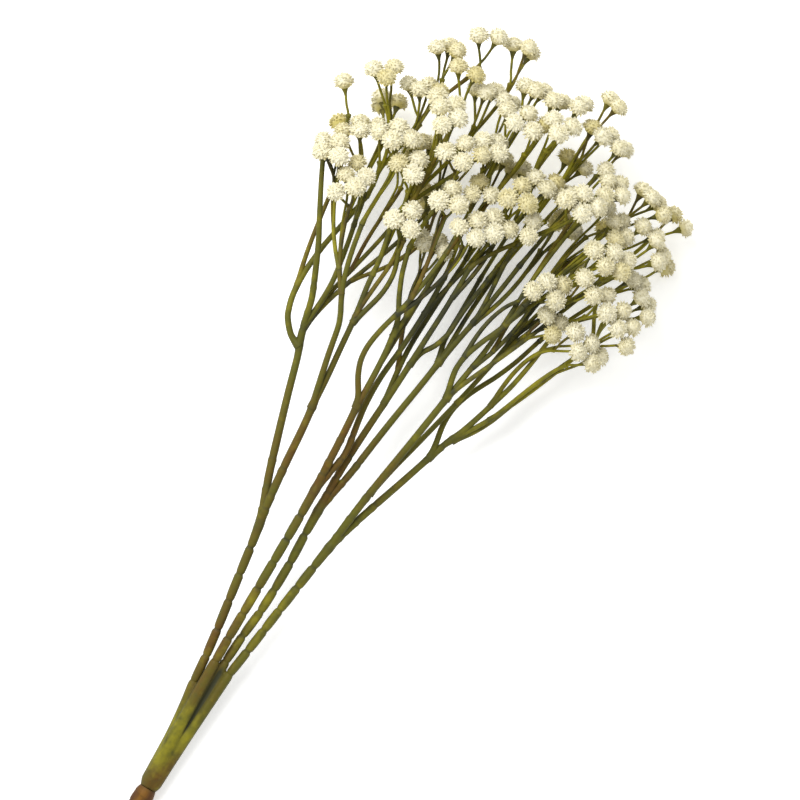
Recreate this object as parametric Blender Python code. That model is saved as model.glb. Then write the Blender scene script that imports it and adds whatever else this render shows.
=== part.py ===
"""A moulded gypsophila stem lying on a table: a brown cut end, a green sheath, four branching sprays and
their cream flower heads in bunches. Lengths are in millimetres until a mesh is made, which is in metres."""

import math
import random

import bmesh
import bpy
import numpy as np
from mathutils import Quaternion, Vector

MM = 0.001
SEED = 11

# Flower head: a core of twenty faces, their middles at HEAD_SEAT, most of them drawn out to petals
HEAD_CORE = 3.6
HEAD_REACH = 4.8
HEAD_SEAT = 0.7947 * HEAD_CORE
HEAD_WANDER = 0.5

# Heads of one bunch stand in a zigzag. No petal points more than PETALS_WITHIN degrees from where its head
# looks, or within PETAL_ROOM degrees of the next head.
HEAD_PITCH = 8.2
BUNCH_CURVE = 45.0
BUNCH_TURN = 20.0
NEXT_HEAD_WITHIN = 1.3 * HEAD_PITCH
PETALS_WITHIN = 100.0
PETAL_ROOM = 62.0
HEAD_REPEATS_AFTER = math.radians(120)
SPINS_TRIED = 24

# Stalk of one head and the cup at its top
STALK_RADIUS = 0.6
CUP_RADIUS = 1.45
CUP_LENGTH = 3.2
STALK_LENGTHS = (17.0, 14.5, 20.0)

# Twig from a branch to the knuckle where a bunch's stalks part
TWIG_ROOT = 1.1
TWIG_TIP = 0.85
TWIG_STEP = 4.0
TWIG_LEAN = 0.7
TWIG_PULL = 0.8
TWIG_BOWS = ((0, 0), (3, 0), (-3, 0), (0, 3), (0, -3))
TWIG_CLEAR_FROM = 16.0
KNUCKLE_RADIUS = 1.3
KNUCKLE_LENGTH = 2.4
KNUCKLE_CROWN = 0.6
MOST_STALKS_TOGETHER = 4

# Which twigs are taken: their lengths, the degrees that they may turn by, and how much each counts
TWIG_SHORTEST = 10.0
TWIG_LONGEST = 105.0
TWIG_BEST_LENGTH = 42.0
MOST_LEAVING = 45.0
MOST_ARRIVING = 75.0
LENGTH_SCALE = 45.0
LEAVING_SCALE = 30.0
ARRIVING_SCALE = 60.0
UNUSED_TIP_FAVOUR = 2.2

# Jointed stem between the sheath and the first fork
STEM_NECK = 1.75
STEM_BODY = 2.12
STEM_TAPER = 0.05
JOINT_SHORT = 11.5
JOINT_LONG = 14.5
JOINT_LIP = 1.3

# Cut end
STUB_END = (0.0, 1.2, 4.3)
STUB_TOP = (25.0, 1.2, 6.4)
# Distance from the cut, and radius there
STUB_PROFILE = ((0.0, 4.5), (1.0, 4.8), (7.0, 4.8), (21.5, 4.8), (25.0, 4.3))

GAP = 0.3
SIDES = {"stub": 14, "sheath": 8, "stem": 6, "branch": 5, "twig": 4}
STEM_STEP = 2.0
SHEATH_STEP = 14.0
BRANCH_STEP = 5.0
FORK_WITHIN = 6.0
STRAIGHT_WITHIN = 0.65

# Bunches fan out from FAN_POINT, the more upwards or downwards the further from its height
FAN_POINT = (232.0, 0.0, 26.0)
FAN_LIFT = 4.5
TWIGS_FROM = FAN_POINT[0] - 10.0
BUNCH_TOP = 57.0
BUNCH_TOP_AT_SIDES = 30.0
BUNCH_MIDDLE = 20.0
BUNCH_BOTTOM = 8.5
BUNCH_BOTTOM_RISE = 0.05
BUNCH_HALF_WIDTH = 98.0
RESTING_HEIGHT = 4.2
LOWEST_HEAD = HEAD_REACH + 1.0
LOWEST_KNUCKLE = 2.5
LOWEST_TWIG = 2.0

# Each spray's stem, from the sheath to its first fork
STEMS = {
    "a": [(77, 8.2, 9.8), (90, 9.5, 11.2), (105, 11.6, 13), (125, 14.8, 15.4), (147, 18.2, 18),
          (158, 20.4, 19)],
    "b": [(90, 4.6, 13.9), (105, 4.9, 15.6), (130, 5.1, 18.4), (160, 5.4, 21.8), (185, 6, 24.6)],
    "c": [(92, 0.6, 11.4), (105, 0, 11.9), (118, -1.2, 12.8), (140, -1.6, 14.5), (160, -0.6, 16.2),
          (178, 0, 17.8)],
    "d": [(88, -3.8, 11.2), (100, -5.4, 12), (115, -7.2, 13.2), (133, -9.4, 14.6), (155, -12.3, 16.5),
          (168, -14.2, 17.8)],
}

# The sheath's ribs, one running out to each stem, and the body between them: places and radii
SHEATH_RIBS = {
    "a": ([(25.3, 2.6, 6.6), (50, 4.2, 8), (65, 6.1, 8.8), (77, 8.2, 9.8)], (3.6, 2.3)),
    "b": ([(25.3, 1.8, 7.2), (50, 3, 9.7), (90, 4.6, 13.9)], (3.8, 2.3)),
    "c": ([(25.3, 0.4, 6.4), (50, 0.6, 7.9), (92, 0.6, 11.4)], (3.8, 2.2)),
    "d": ([(25.3, -0.2, 6.6), (50, -1.4, 8.2), (88, -3.8, 11.2)], (3.4, 2.2)),
    "body": ([(25.3, 1.4, 6.9), (50, 2.6, 8.9), (82, 3, 11.8)], (4.7, 2.2)),
}

# Branches: spray, radius at the root, radius at the tip, places
BRANCHES = [
    ("a", 2.0, 1.6, [(154, 19.6, 18.6), (162, 22.4, 19.2), (175, 27.3, 19.6), (190, 32.2, 20),
                     (210, 38.5, 21),
                     (227, 43.6, 22), (234, 46.6, 22.4)]),
    ("a", 1.5, 1.1, [(231, 45.3, 22.2), (233.5, 51, 22.5), (239, 56, 22.5), (248, 59.3, 22),
                     (260, 60.3, 21.5),
                     (275, 59.2, 21), (290, 56.5, 20), (304, 54, 18)]),
    ("a", 1.6, 1.1, [(231, 45.4, 22.2), (242, 48.8, 24.5), (252, 51.3, 27), (262, 55.5, 29), (275, 61.5, 31),
                     (286, 67.5, 32.5), (300, 75, 33.5), (308, 79, 34)]),
    ("a", 1.3, 1.0, [(240, 48.2, 24), (250, 47.3, 24.5), (262, 47.2, 25.5), (275, 49, 27), (290, 52, 29.5),
                     (303, 56, 33)]),
    ("a", 2.0, 1.7, [(152, 19.2, 18.4), (166, 21.4, 21), (183, 23.3, 24), (200, 24.8, 26.5),
                     (214, 26.5, 28.5)]),
    ("a", 1.5, 1.1, [(210, 26.1, 28), (222, 29, 31), (235, 32, 34), (249, 35, 37), (257, 38.8, 38.5),
                     (265, 42.5, 39.5), (278, 46.3, 41), (292, 49, 43)]),
    ("a", 1.5, 1.1, [(210, 26.1, 28), (225, 27.2, 29.5), (240, 28.8, 30.5), (255, 30.4, 31.5),
                     (270, 32.8, 32.5),
                     (285, 34.5, 34), (300, 38, 36)]),
    ("a", 1.3, 1.0, [(252, 30.1, 31.3), (262, 27.4, 32), (271, 25.4, 33), (281, 25.6, 34.5), (291, 29, 37),
                     (300, 33, 40)]),
    ("b", 1.9, 1.6, [(179, 5.8, 23.9), (192, 6.8, 26.5), (207, 7.8, 30), (223, 9.2, 33.5)]),
    ("b", 1.4, 1.0, [(221, 9, 33), (226, 11.2, 34.5), (232, 14.9, 36), (239, 17.9, 37.5), (247, 18.7, 39),
                     (257, 17.2, 40.5), (270, 14, 42.5), (285, 11.5, 44.5), (300, 10, 46)]),
    ("b", 1.5, 1.1, [(220, 9, 32.8), (235, 9.5, 34), (250, 10.6, 35), (263, 13, 35.5), (272, 17.5, 36),
                     (282, 22, 37), (294, 25.5, 39)]),
    ("b", 1.3, 1.0, [(256, 11.4, 35.2), (268, 10.5, 33.5), (282, 9.5, 31), (297, 10, 28)]),
    ("b", 1.6, 1.1, [(180, 5.6, 23.8), (190, 4, 24.4), (200, 2.6, 25), (210, 4, 25.6), (222, 6, 26.2),
                     (237, 6.6, 27), (255, 5.2, 28.5), (272, 4.6, 31), (290, 5, 35)]),
    ("c", 1.8, 1.1, [(172, -0.2, 17.3), (188, 0.4, 18.8), (203, 0.3, 20), (218, -0.3, 22), (232, -1, 24),
                     (247, -1.6, 26), (262, -2, 29), (280, -2.5, 33), (300, -2.5, 37)]),
    ("c", 1.3, 1.0, [(249, -1.7, 26.3), (257, -3.6, 26), (263, -7.2, 25.8), (270, -9.3, 26), (282, -10, 27),
                     (300, -12, 29)]),
    ("c", 1.3, 1.0, [(228, -0.8, 23.4), (240, 1, 23), (255, 2.4, 22.5), (272, 2.2, 21.5), (290, 1.5, 20),
                     (303, 1, 18)]),
    ("c", 1.7, 1.4, [(172, -0.2, 17.2), (184, -2.3, 17.4), (195, -4.2, 17.8), (210, -6, 18.4),
                     (226, -8.1, 19.2),
                     (243, -10.6, 20.2), (260, -12.8, 21.4)]),
    ("c", 1.3, 1.0, [(257, -12.4, 21.2), (266, -9.6, 20.5), (280, -9.3, 19), (298, -9, 16)]),
    ("c", 1.4, 1.1, [(256, -12.3, 21.1), (270, -14.6, 23.5), (285, -17.3, 26.5), (300, -19.5, 30),
                     (312, -21, 33)]),
    ("d", 1.8, 1.5, [(160, -13, 17), (172, -14, 19.2), (185, -15.4, 21.8), (200, -17.4, 25),
                     (220, -20.3, 29),
                     (240, -23, 32.5), (248, -24.2, 34)]),
    ("d", 1.4, 1.0, [(245, -23.8, 33.4), (251, -21.9, 35), (257, -20.6, 36.5), (265, -21, 38.5),
                     (275, -24.4, 40.5), (286, -29, 42.5), (298, -32, 45)]),
    ("d", 1.4, 1.0, [(244, -23.6, 33.2), (258, -25.6, 34), (272, -27.5, 35), (288, -28.6, 36.5),
                     (305, -29, 38.5)]),
    ("d", 1.4, 1.0, [(190, -16.2, 22.6), (205, -19.2, 22.6), (220, -22.8, 22.8), (235, -26.3, 23.4),
                     (250, -29.6, 24), (265, -32.5, 25), (282, -35, 26)]),
    ("d", 1.8, 1.5, [(160, -13, 17), (172, -16.2, 17), (185, -20.2, 17), (200, -25.1, 17.2),
                     (213, -29.2, 17.6),
                     (222, -32, 18)]),
    ("d", 1.4, 1.0, [(218, -31, 18), (226, -29.9, 18.6), (234, -28.5, 19), (243, -28.8, 19.3),
                     (253, -32, 20),
                     (264, -37.5, 21), (275, -42, 22.5), (288, -46, 24.5)]),
    ("d", 1.6, 1.5, [(217, -30.7, 17.9), (227, -33.8, 17.4), (234, -37.4, 17)]),
    ("d", 1.4, 1.0, [(230, -35.4, 17.2), (240, -38.8, 18), (252, -42.4, 19.5), (265, -46, 22),
                     (280, -48.5, 25),
                     (294, -50, 28)]),
    ("d", 1.4, 1.0, [(230, -35.6, 17.1), (237, -41, 15.4), (246, -45.9, 14.2), (259, -50.8, 13.5),
                     (272, -56, 14),
                     (285, -61.3, 15), (297, -67, 16.5)]),
]

# Bunches: distance along, distance across, level, heads, and the way the bunch runs in degrees
RESTING, LOW, MIDDLE, TOP = range(4)
BUNCHES = [
    (347, -78, RESTING, 1, 0), (327, 82, RESTING, 1, 0),
    (343, 89, MIDDLE, 1, 0), (315, 79, TOP, 4, 60), (331, 71, MIDDLE, 5, 20), (308, 63, TOP, 5, 10),
    (353, 78, TOP, 3, -50), (346, 69, LOW, 3, 60), (335, 57, TOP, 4, -40), (328, 49, LOW, 2, 90),
    (360, 57, MIDDLE, 4, -60), (378, 60, MIDDLE, 3, 85), (325, 43, TOP, 3, -55), (340, 38, MIDDLE, 5, -40),
    (356, 42, TOP, 5, 15), (376, 44, MIDDLE, 2, 0), (394, 41, MIDDLE, 2, 0), (398, 27, MIDDLE, 3, -20),
    (374, 28, MIDDLE, 5, -80), (305, 33, TOP, 3, 70), (321, 28, LOW, 4, -10), (348, 22, TOP, 7, -50),
    (305, 15, MIDDLE, 4, 80), (322, 17, TOP, 3, 0), (385, 9, MIDDLE, 5, -60), (370, 10, TOP, 5, -60),
    (320, 1, TOP, 6, -15), (333, 7, MIDDLE, 3, 10), (350, 4, MIDDLE, 5, -60), (390, -8, MIDDLE, 2, 20),
    (376, -6, TOP, 3, 10), (339, -6, TOP, 3, -30), (351, -17, MIDDLE, 5, -50), (330, -14, TOP, 2, 60),
    (354, -31, TOP, 4, -40), (366, -22, MIDDLE, 3, 80), (398, -20, MIDDLE, 2, -70),
    (383, -27, MIDDLE, 5, -80),
    (369, -39, MIDDLE, 5, -20), (348, -44, MIDDLE, 4, -60), (306, -32, TOP, 1, 0), (313, -41, MIDDLE, 3, 60),
    (326, -43, LOW, 1, 0), (303, -51, MIDDLE, 3, -45), (321, -53, MIDDLE, 2, -45), (336, -56, TOP, 5, -50),
    (351, -56, MIDDLE, 5, 0), (366, -58, MIDDLE, 4, -80), (302, -67, MIDDLE, 5, -75),
    (315, -72, TOP, 6, -80),
    (330, -76, MIDDLE, 5, 60), (353, -69, MIDDLE, 5, 0), (368, -73, LOW, 2, 0), (340, -30, MIDDLE, 4, -60),
]

# A bunch that finds no room where it is wanted moves by the least of these steps that gives it room
SHIFTS_LEVEL = (-9, -6, -3, 0, 3, 6, 9)
SHIFTS_UPRIGHT = range(-24, 25, 2)
SHIFTS_TRIED = 120
TWIGS_TRIED = 20
TWIGS_TRIED_APART = 10

SHARP_FROM = math.radians(50)
GREEN = (0.23, 0.22, 0.05, 1.0)
BROWN = (0.25, 0.12, 0.04, 1.0)
CREAM = (0.82, 0.78, 0.60, 1.0)


def unit(vector):
    return vector / np.linalg.norm(vector)


def smooth(points, step):
    """Points about a step apart on a smooth curve through the given ones."""
    line = np.array(points, float)
    ends = np.vstack((2 * line[0] - line[1], line, 2 * line[-1] - line[-2]))
    out = []
    for before, start, end, after in zip(ends, ends[1:], ends[2:], ends[3:]):
        spans = max(1, round(float(np.linalg.norm(end - start)) / step))
        for k in range(spans):
            t = k / spans
            bend = 2 * before - 5 * start + 4 * end - after
            twist = 3 * start - before - 3 * end + after
            out.append(start + 0.5 * ((end - before) * t + bend * t**2 + twist * t**3))
    out.append(line[-1])
    return np.array(out)


def rods(line, radii):
    """A tube as straight round-ended rods: their ends and radii."""
    return line[:-1], line[1:], np.maximum(radii[:-1], radii[1:])


def rod_gaps(first, second):
    """The distance between the surfaces of each first and each second rod, as a table."""
    start_1, end_1, radius_1 = first
    start_2, end_2, radius_2 = second
    run_1 = (end_1 - start_1)[:, None, :]
    run_2 = (end_2 - start_2)[None, :, :]
    apart = start_1[:, None, :] - start_2[None, :, :]
    long_1 = np.maximum((run_1 * run_1).sum(-1), 1e-9)
    long_2 = np.maximum((run_2 * run_2).sum(-1), 1e-9)
    both = (run_1 * run_2).sum(-1)
    on_1 = (run_1 * apart).sum(-1)
    on_2 = (run_2 * apart).sum(-1)
    across = long_1 * long_2 - both * both
    s = np.clip((both * on_2 - on_1 * long_2) / np.maximum(across, 1e-6), 0, 1)
    s = np.where(across > 1e-6, s, 0)
    t = np.clip((both * s + on_2) / long_2, 0, 1)
    s = np.clip((both * t - on_1) / long_1, 0, 1)
    between = apart + run_1 * s[..., None] - run_2 * t[..., None]
    return np.sqrt((between * between).sum(-1)) - radius_1[:, None] - radius_2[None, :]


class Room:
    """Everything grown so far, as rods with the name of what they belong to."""

    def __init__(self):
        self.starts = np.zeros((0, 3))
        self.ends = np.zeros((0, 3))
        self.radii = np.zeros(0)
        self.owners = np.zeros(0, "U4")

    def add(self, rods_of_it, owner):
        starts, ends, radii = rods_of_it
        self.starts = np.vstack((self.starts, starts))
        self.ends = np.vstack((self.ends, ends))
        self.radii = np.concatenate((self.radii, radii))
        self.owners = np.concatenate((self.owners, np.full(len(radii), owner, "U4")))

    def is_free(self, rods_of_it, apart_from="", against=None):
        """Whether rods keep the gap to all that is here, to one owner's alone, or to all but one owner's."""
        starts, ends, radii = rods_of_it
        reach = radii.max() + HEAD_REACH + GAP
        low = np.minimum(starts, ends).min(0) - reach
        high = np.maximum(starts, ends).max(0) + reach
        near = (np.minimum(self.starts, self.ends) <= high).all(1)
        near &= (np.maximum(self.starts, self.ends) >= low).all(1)
        near &= self.owners == against if against else self.owners != apart_from
        if not near.any():
            return True
        here = self.starts[near], self.ends[near], self.radii[near]
        return rod_gaps(rods_of_it, here).min() >= GAP


def corners(line):
    """The fewest of a line's points that keep it straight within the tolerance between them, as indices."""
    run = line[-1] - line[0]
    along = np.clip((line - line[0]) @ run / (run @ run), 0, 1)
    off = np.linalg.norm(line - line[0] - along[:, None] * run, axis=1)
    worst = int(off.argmax())
    if off[worst] < STRAIGHT_WITHIN:
        return [0, len(line) - 1]
    return corners(line[: worst + 1])[:-1] + [worst + k for k in corners(line[worst:])]


class Tube:
    """One stem, branch or twig of a spray, with the stalks at a twig's knuckle."""

    def __init__(self, kind, spray, line, radii):
        self.kind = kind
        self.spray = spray
        self.line = line
        self.radii = radii
        self.last_used = 0
        self.stalks = []

    def faceted(self):
        """The places and radii that its mesh needs."""
        kept = list(range(len(self.line))) if self.kind == "stem" else corners(self.line)
        if self.kind == "twig":
            kept.insert(-1, len(self.line) - 2)
        return self.line[sorted(set(kept))], self.radii[sorted(set(kept))]


class Hosts:
    """The places that a twig can leave from, with the way that each leads."""

    def __init__(self):
        self.spots = []
        self.places = np.zeros((0, 3))
        self.leads = np.zeros((0, 3))

    def add(self, tube, indices):
        for k in indices:
            ahead = min(k + 1, len(tube.line) - 1)
            self.spots.append((tube, k))
            self.places = np.vstack((self.places, tube.line[k]))
            self.leads = np.vstack((self.leads, unit(tube.line[ahead] - tube.line[k - 1])))

    def only(self, spray):
        some = Hosts()
        kept = [k for k, spot in enumerate(self.spots) if spot[0].spray == spray]
        some.spots = [self.spots[k] for k in kept]
        some.places = self.places[kept]
        some.leads = self.leads[kept]
        return some

    def ranked(self, knuckle, facing):
        """Those that suit a knuckle, first those of the best length that leave and arrive gently."""
        reach = knuckle - self.places
        length = np.linalg.norm(reach, axis=1)
        way = reach / length[:, None]
        leave = np.degrees(np.arccos(np.clip((way * self.leads).sum(1), -1, 1)))
        arrive = np.degrees(np.arccos(np.clip(way @ facing, -1, 1)))
        cost = leave / LEAVING_SCALE + arrive / ARRIVING_SCALE
        cost += abs(length - TWIG_BEST_LENGTH) / LENGTH_SCALE
        for k, (tube, index) in enumerate(self.spots):
            if tube.kind == "branch" and tube.last_used < index == len(tube.line) - 1:
                cost[k] -= UNUSED_TIP_FAVOUR
        suits = (length > TWIG_SHORTEST) & (length < TWIG_LONGEST)
        suits &= (leave < MOST_LEAVING) & (arrive < MOST_ARRIVING)
        return [k for k in np.argsort(cost, kind="stable") if suits[k]]


class Bunch:
    """One bunch of heads: where each is, and which way it looks."""

    def __init__(self, heads, ways):
        self.heads = heads
        self.ways = ways


def jointed(points, rng):
    """A stem's places and radii: joint after joint, each with a narrow neck."""
    line = smooth(points, STEM_STEP)
    travelled = np.concatenate(([0], np.cumsum(np.linalg.norm(np.diff(line, axis=0), axis=1))))
    places = []
    radii = []
    at = 0.0
    while travelled[-1] - at > JOINT_SHORT:
        length = rng.uniform(JOINT_SHORT, JOINT_LONG)
        places += [at, at + JOINT_LIP, at + length - JOINT_LIP]
        radii += [STEM_NECK, STEM_BODY, STEM_BODY - STEM_TAPER]
        at += length
    places.append(travelled[-1])
    radii.append(STEM_NECK)
    line = np.stack([np.interp(places, travelled, line[:, k]) for k in range(3)], axis=1)
    return line, np.array(radii)


def bunch_height(across, level):
    rise = math.sqrt(1 - (across / BUNCH_HALF_WIDTH) ** 2)
    top = BUNCH_TOP_AT_SIDES + (BUNCH_TOP - BUNCH_TOP_AT_SIDES) * rise
    low = BUNCH_BOTTOM + BUNCH_BOTTOM_RISE * abs(across)
    return {RESTING: RESTING_HEIGHT, LOW: low, MIDDLE: (top + BUNCH_MIDDLE) / 2, TOP: top}[level]


def bunch_facing(place):
    out = place - np.array(FAN_POINT)
    return unit(out * (1, 1, FAN_LIFT))


def place_heads(place, facing, angle, wander):
    """Heads in a zigzag strip across the facing, on a shallow dome."""
    count = len(wander)
    way = np.array((math.cos(math.radians(angle)), math.sin(math.radians(angle)), 0))
    along = unit(way - facing * way.dot(facing))
    across = np.cross(facing, along)
    heads = []
    for k, deep in enumerate(wander):
        a = (k - (count - 1) / 2) * HEAD_PITCH / 2
        b = (-1) ** k * HEAD_PITCH * math.sqrt(3) / 4 if count > 1 else 0
        dome = (a * a + b * b) / BUNCH_CURVE
        heads.append(place + along * a + across * b + facing * (deep - dome))
    return np.array(heads)


def as_rods(points, radius):
    return points, points, np.full(len(points), radius)


def twig_line(host, lead, knuckle, facing, bow):
    """A smooth run from a host to the knuckle, leaving along the one and arriving along the other."""
    length = np.linalg.norm(knuckle - host)
    lead = unit(lead + TWIG_LEAN * unit(knuckle - host))
    side = np.cross(lead, (0, 0, 1))
    push = bow[0] * side + bow[1] * np.cross(side, lead)
    pull = TWIG_PULL * length
    before_knuckle = 1 - KNUCKLE_LENGTH / length
    spans = max(3, round(length / TWIG_STEP))
    steps = np.append(np.linspace(0, before_knuckle, spans + 1), 1)[:, None]
    line = (2 * steps**3 - 3 * steps**2 + 1) * host + (3 * steps**2 - 2 * steps**3) * knuckle
    line += (steps**3 - 2 * steps**2 + steps) * lead * pull + (steps**3 - steps**2) * facing * pull
    return line + push * np.sin(math.pi * steps)


def find_twig(room, hosts, knuckle, facing, heads):
    """The best free twig to a knuckle."""
    ranked = hosts.ranked(knuckle, facing)
    for alone, tried in ((True, TWIGS_TRIED_APART), (False, TWIGS_TRIED)):
        for k in ranked[:tried]:
            tube, index = hosts.spots[k]
            for bow in TWIG_BOWS:
                line = twig_line(hosts.places[k], hosts.leads[k], knuckle, facing, bow)
                radii = np.linspace(min(TWIG_ROOT, 0.9 * tube.radii[index]), TWIG_TIP, len(line))
                radii[-1] = KNUCKLE_RADIUS
                run = rods(np.vstack((line[:-1:3], line[-1:])), np.append(radii[:-1:3], KNUCKLE_RADIUS))
                if line[:, 2].min() < LOWEST_TWIG or rod_gaps(run, as_rods(heads, HEAD_REACH)).min() < GAP:
                    continue
                if not room.is_free(run, tube.spray):
                    continue
                away = np.linalg.norm(run[1] - hosts.places[k], axis=1) > TWIG_CLEAR_FROM
                if alone and away.any() and not room.is_free([part[away] for part in run]):
                    continue
                return Tube("twig", tube.spray, line, radii), tube, index
    return None


def plan_stalks(room, heads, group, knuckle, spray=None):
    """A straight stalk with its cup for each head of the group, or nothing where one has no room. Without a
    spray, only other heads are in its way."""
    stalks = []
    for number in group:
        way = unit(heads[number] - knuckle)
        rim = heads[number] - way * (HEAD_SEAT + GAP)
        cup = rim - way * CUP_LENGTH
        run = np.array((knuckle, cup)), np.array((cup, rim)), np.array((STALK_RADIUS, CUP_RADIUS))
        others = np.delete(heads, number, axis=0)
        if len(others) and rod_gaps(run, as_rods(others, HEAD_REACH)).min() < GAP:
            return None
        if not room.is_free(run, spray, None if spray else "head"):
            return None
        stalks.append((number, way, cup, rim))
    return stalks


def plan_bunch(room, hosts, heads, facing, length):
    """Knuckles, twigs and stalks that carry these heads, or nothing."""
    count = len(heads)
    parts = 1 if count <= MOST_STALKS_TOGETHER else 2
    half = (count + parts - 1) // parts
    groups = [range(first, min(first + half, count)) for first in range(0, count, half)]
    plan = []
    for group in groups:
        knuckle = heads[list(group)].mean(0) - facing * length
        if knuckle[2] < LOWEST_KNUCKLE or plan_stalks(room, heads, group, knuckle) is None:
            return None
        choice = hosts
        if plan:
            first_twig = plan[0][0]
            choice = hosts.only(first_twig.spray)
            choice.add(first_twig, range(1, len(first_twig.line) - 2))
        found = find_twig(room, choice, knuckle, facing, heads)
        if found is None:
            return None
        twig, parent, index = found
        twig.stalks = plan_stalks(room, heads, group, knuckle, twig.spray)
        if twig.stalks is None:
            return None
        plan.append(found)
    return plan


def grow_bunch(room, tubes, hosts, row, rng):
    """Adds one bunch with its twigs and stalks, at the nearest place that has room for all of it."""
    x, y, level, count, angle = row
    wander = [rng.uniform(-HEAD_WANDER, HEAD_WANDER) for _ in range(count)]
    angle += rng.uniform(-BUNCH_TURN, BUNCH_TURN)
    wanted = np.array((x, y, bunch_height(y, level)), float)
    shifts = [(i, j, k) for k in SHIFTS_UPRIGHT for i in SHIFTS_LEVEL for j in SHIFTS_LEVEL]
    if level == RESTING:
        shifts = [shift for shift in shifts if shift[2] == 0]
    shifts.sort(key=lambda shift: 4 * (shift[0] ** 2 + shift[1] ** 2) + shift[2] ** 2)
    tried = 0
    for shift in shifts:
        place = wanted + shift
        facing = bunch_facing(place)
        heads = place_heads(place, facing, angle, wander)
        if level != RESTING and heads[:, 2].min() < LOWEST_HEAD:
            continue
        if not room.is_free(as_rods(heads, HEAD_REACH)):
            continue
        tried += 1
        if tried > SHIFTS_TRIED:
            break
        for length in STALK_LENGTHS:
            plan = plan_bunch(room, hosts, heads, facing, length)
            if plan is None:
                continue
            room.add(as_rods(heads, HEAD_REACH), "head")
            ways = {}
            for twig, parent, index in plan:
                parent.last_used = max(parent.last_used, index)
                tubes.append(twig)
                room.add(rods(*twig.faceted()), twig.spray)
                hosts.add(twig, range(2, len(twig.line) - 2))
                for number, way, cup, rim in twig.stalks:
                    line = np.array((twig.line[-1], cup, rim))
                    room.add(rods(line, np.array((STALK_RADIUS, STALK_RADIUS, CUP_RADIUS))), twig.spray)
                    ways[number] = way
            return Bunch(heads, [ways[k] for k in range(count)])
    raise RuntimeError(f"no room for the bunch at {x}, {y}")


def turn_of(k):
    """The resting heads grow first, then the large bunches, and of equal ones the furthest."""
    along, across, level, count, angle = BUNCHES[k]
    return level != RESTING, -count, -along


def grow():
    """The whole plant: its tubes and its bunches."""
    rng = random.Random(SEED)
    room = Room()
    tubes = []
    hosts = Hosts()
    for spray, points in STEMS.items():
        tubes.append(Tube("stem", spray, *jointed(points, rng)))
    for spray, root, tip, points in BRANCHES:
        line = smooth(points, BRANCH_STEP)
        tube = Tube("branch", spray, line, np.linspace(root, tip, len(line)))
        tubes.append(tube)
        hosts.add(tube, [k for k in range(1, len(line)) if line[k][0] > TWIGS_FROM])
    for tube in tubes:
        room.add(rods(*tube.faceted()), tube.spray)
    bunches = [None] * len(BUNCHES)
    for k in sorted(range(len(BUNCHES)), key=turn_of):
        bunches[k] = grow_bunch(room, tubes, hosts, BUNCHES[k], rng)
    return tubes, bunches


def trim_branches(tubes):
    """Ends each branch at the last twig that leaves it, or at the fork that it carries."""
    for tube in tubes:
        if tube.kind != "branch":
            continue
        last = tube.last_used
        for other in tubes:
            if other is tube or other.spray != tube.spray or other.kind != "branch":
                continue
            away = np.linalg.norm(tube.line - other.line[0], axis=1)
            if away.min() < FORK_WITHIN:
                last = max(last, min(int(away.argmin()) + 1, len(tube.line) - 1))
        tube.line = tube.line[: max(last, 1) + 1]
        tube.radii = tube.radii[: max(last, 1) + 1]


def paint(solid, colour, roughness):
    """Gives a solid a plastic of its own."""
    material = bpy.data.materials.new(solid.name + "_plastic")
    material.use_nodes = True
    shader = material.node_tree.nodes["Principled BSDF"]
    shader.inputs["Base Color"].default_value = colour
    shader.inputs["Roughness"].default_value = roughness
    solid.data.materials.clear()
    solid.data.materials.append(material)


def new_object(name, bm):
    mesh = bpy.data.meshes.new(name)
    bm.to_mesh(mesh)
    bm.free()
    thing = bpy.data.objects.new(name, mesh)
    bpy.context.scene.collection.objects.link(thing)
    return thing


def add_rings(bm, line, radii, sides):
    """The rings of a tube's side, square to its run, with the faces between them."""
    side = Vector((0, 0, 1))
    rings = []
    for k, place in enumerate(line):
        run = Vector(line[min(k + 1, len(line) - 1)] - line[max(k - 1, 0)]).normalized()
        side = (side - run * side.dot(run)).normalized()
        turn = run.cross(side)
        ring = []
        for n in range(sides):
            angle = 2 * math.pi * n / sides
            out = side * math.cos(angle) + turn * math.sin(angle)
            ring.append(bm.verts.new((Vector(place) + out * radii[k]) * MM))
        rings.append(ring)
    for lower, upper in zip(rings, rings[1:]):
        join_rings(bm, lower, upper)
    return rings


def join_rings(bm, lower, upper):
    for n in range(len(lower)):
        m = (n + 1) % len(lower)
        bm.faces.new((lower[n], lower[m], upper[m], upper[n]))


def tube_object(name, line, radii, sides):
    """A closed tube."""
    bm = bmesh.new()
    rings = add_rings(bm, np.array(line, float), radii, sides)
    bm.faces.new(rings[0][::-1])
    bm.faces.new(rings[-1])
    return new_object(name, bm)


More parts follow.
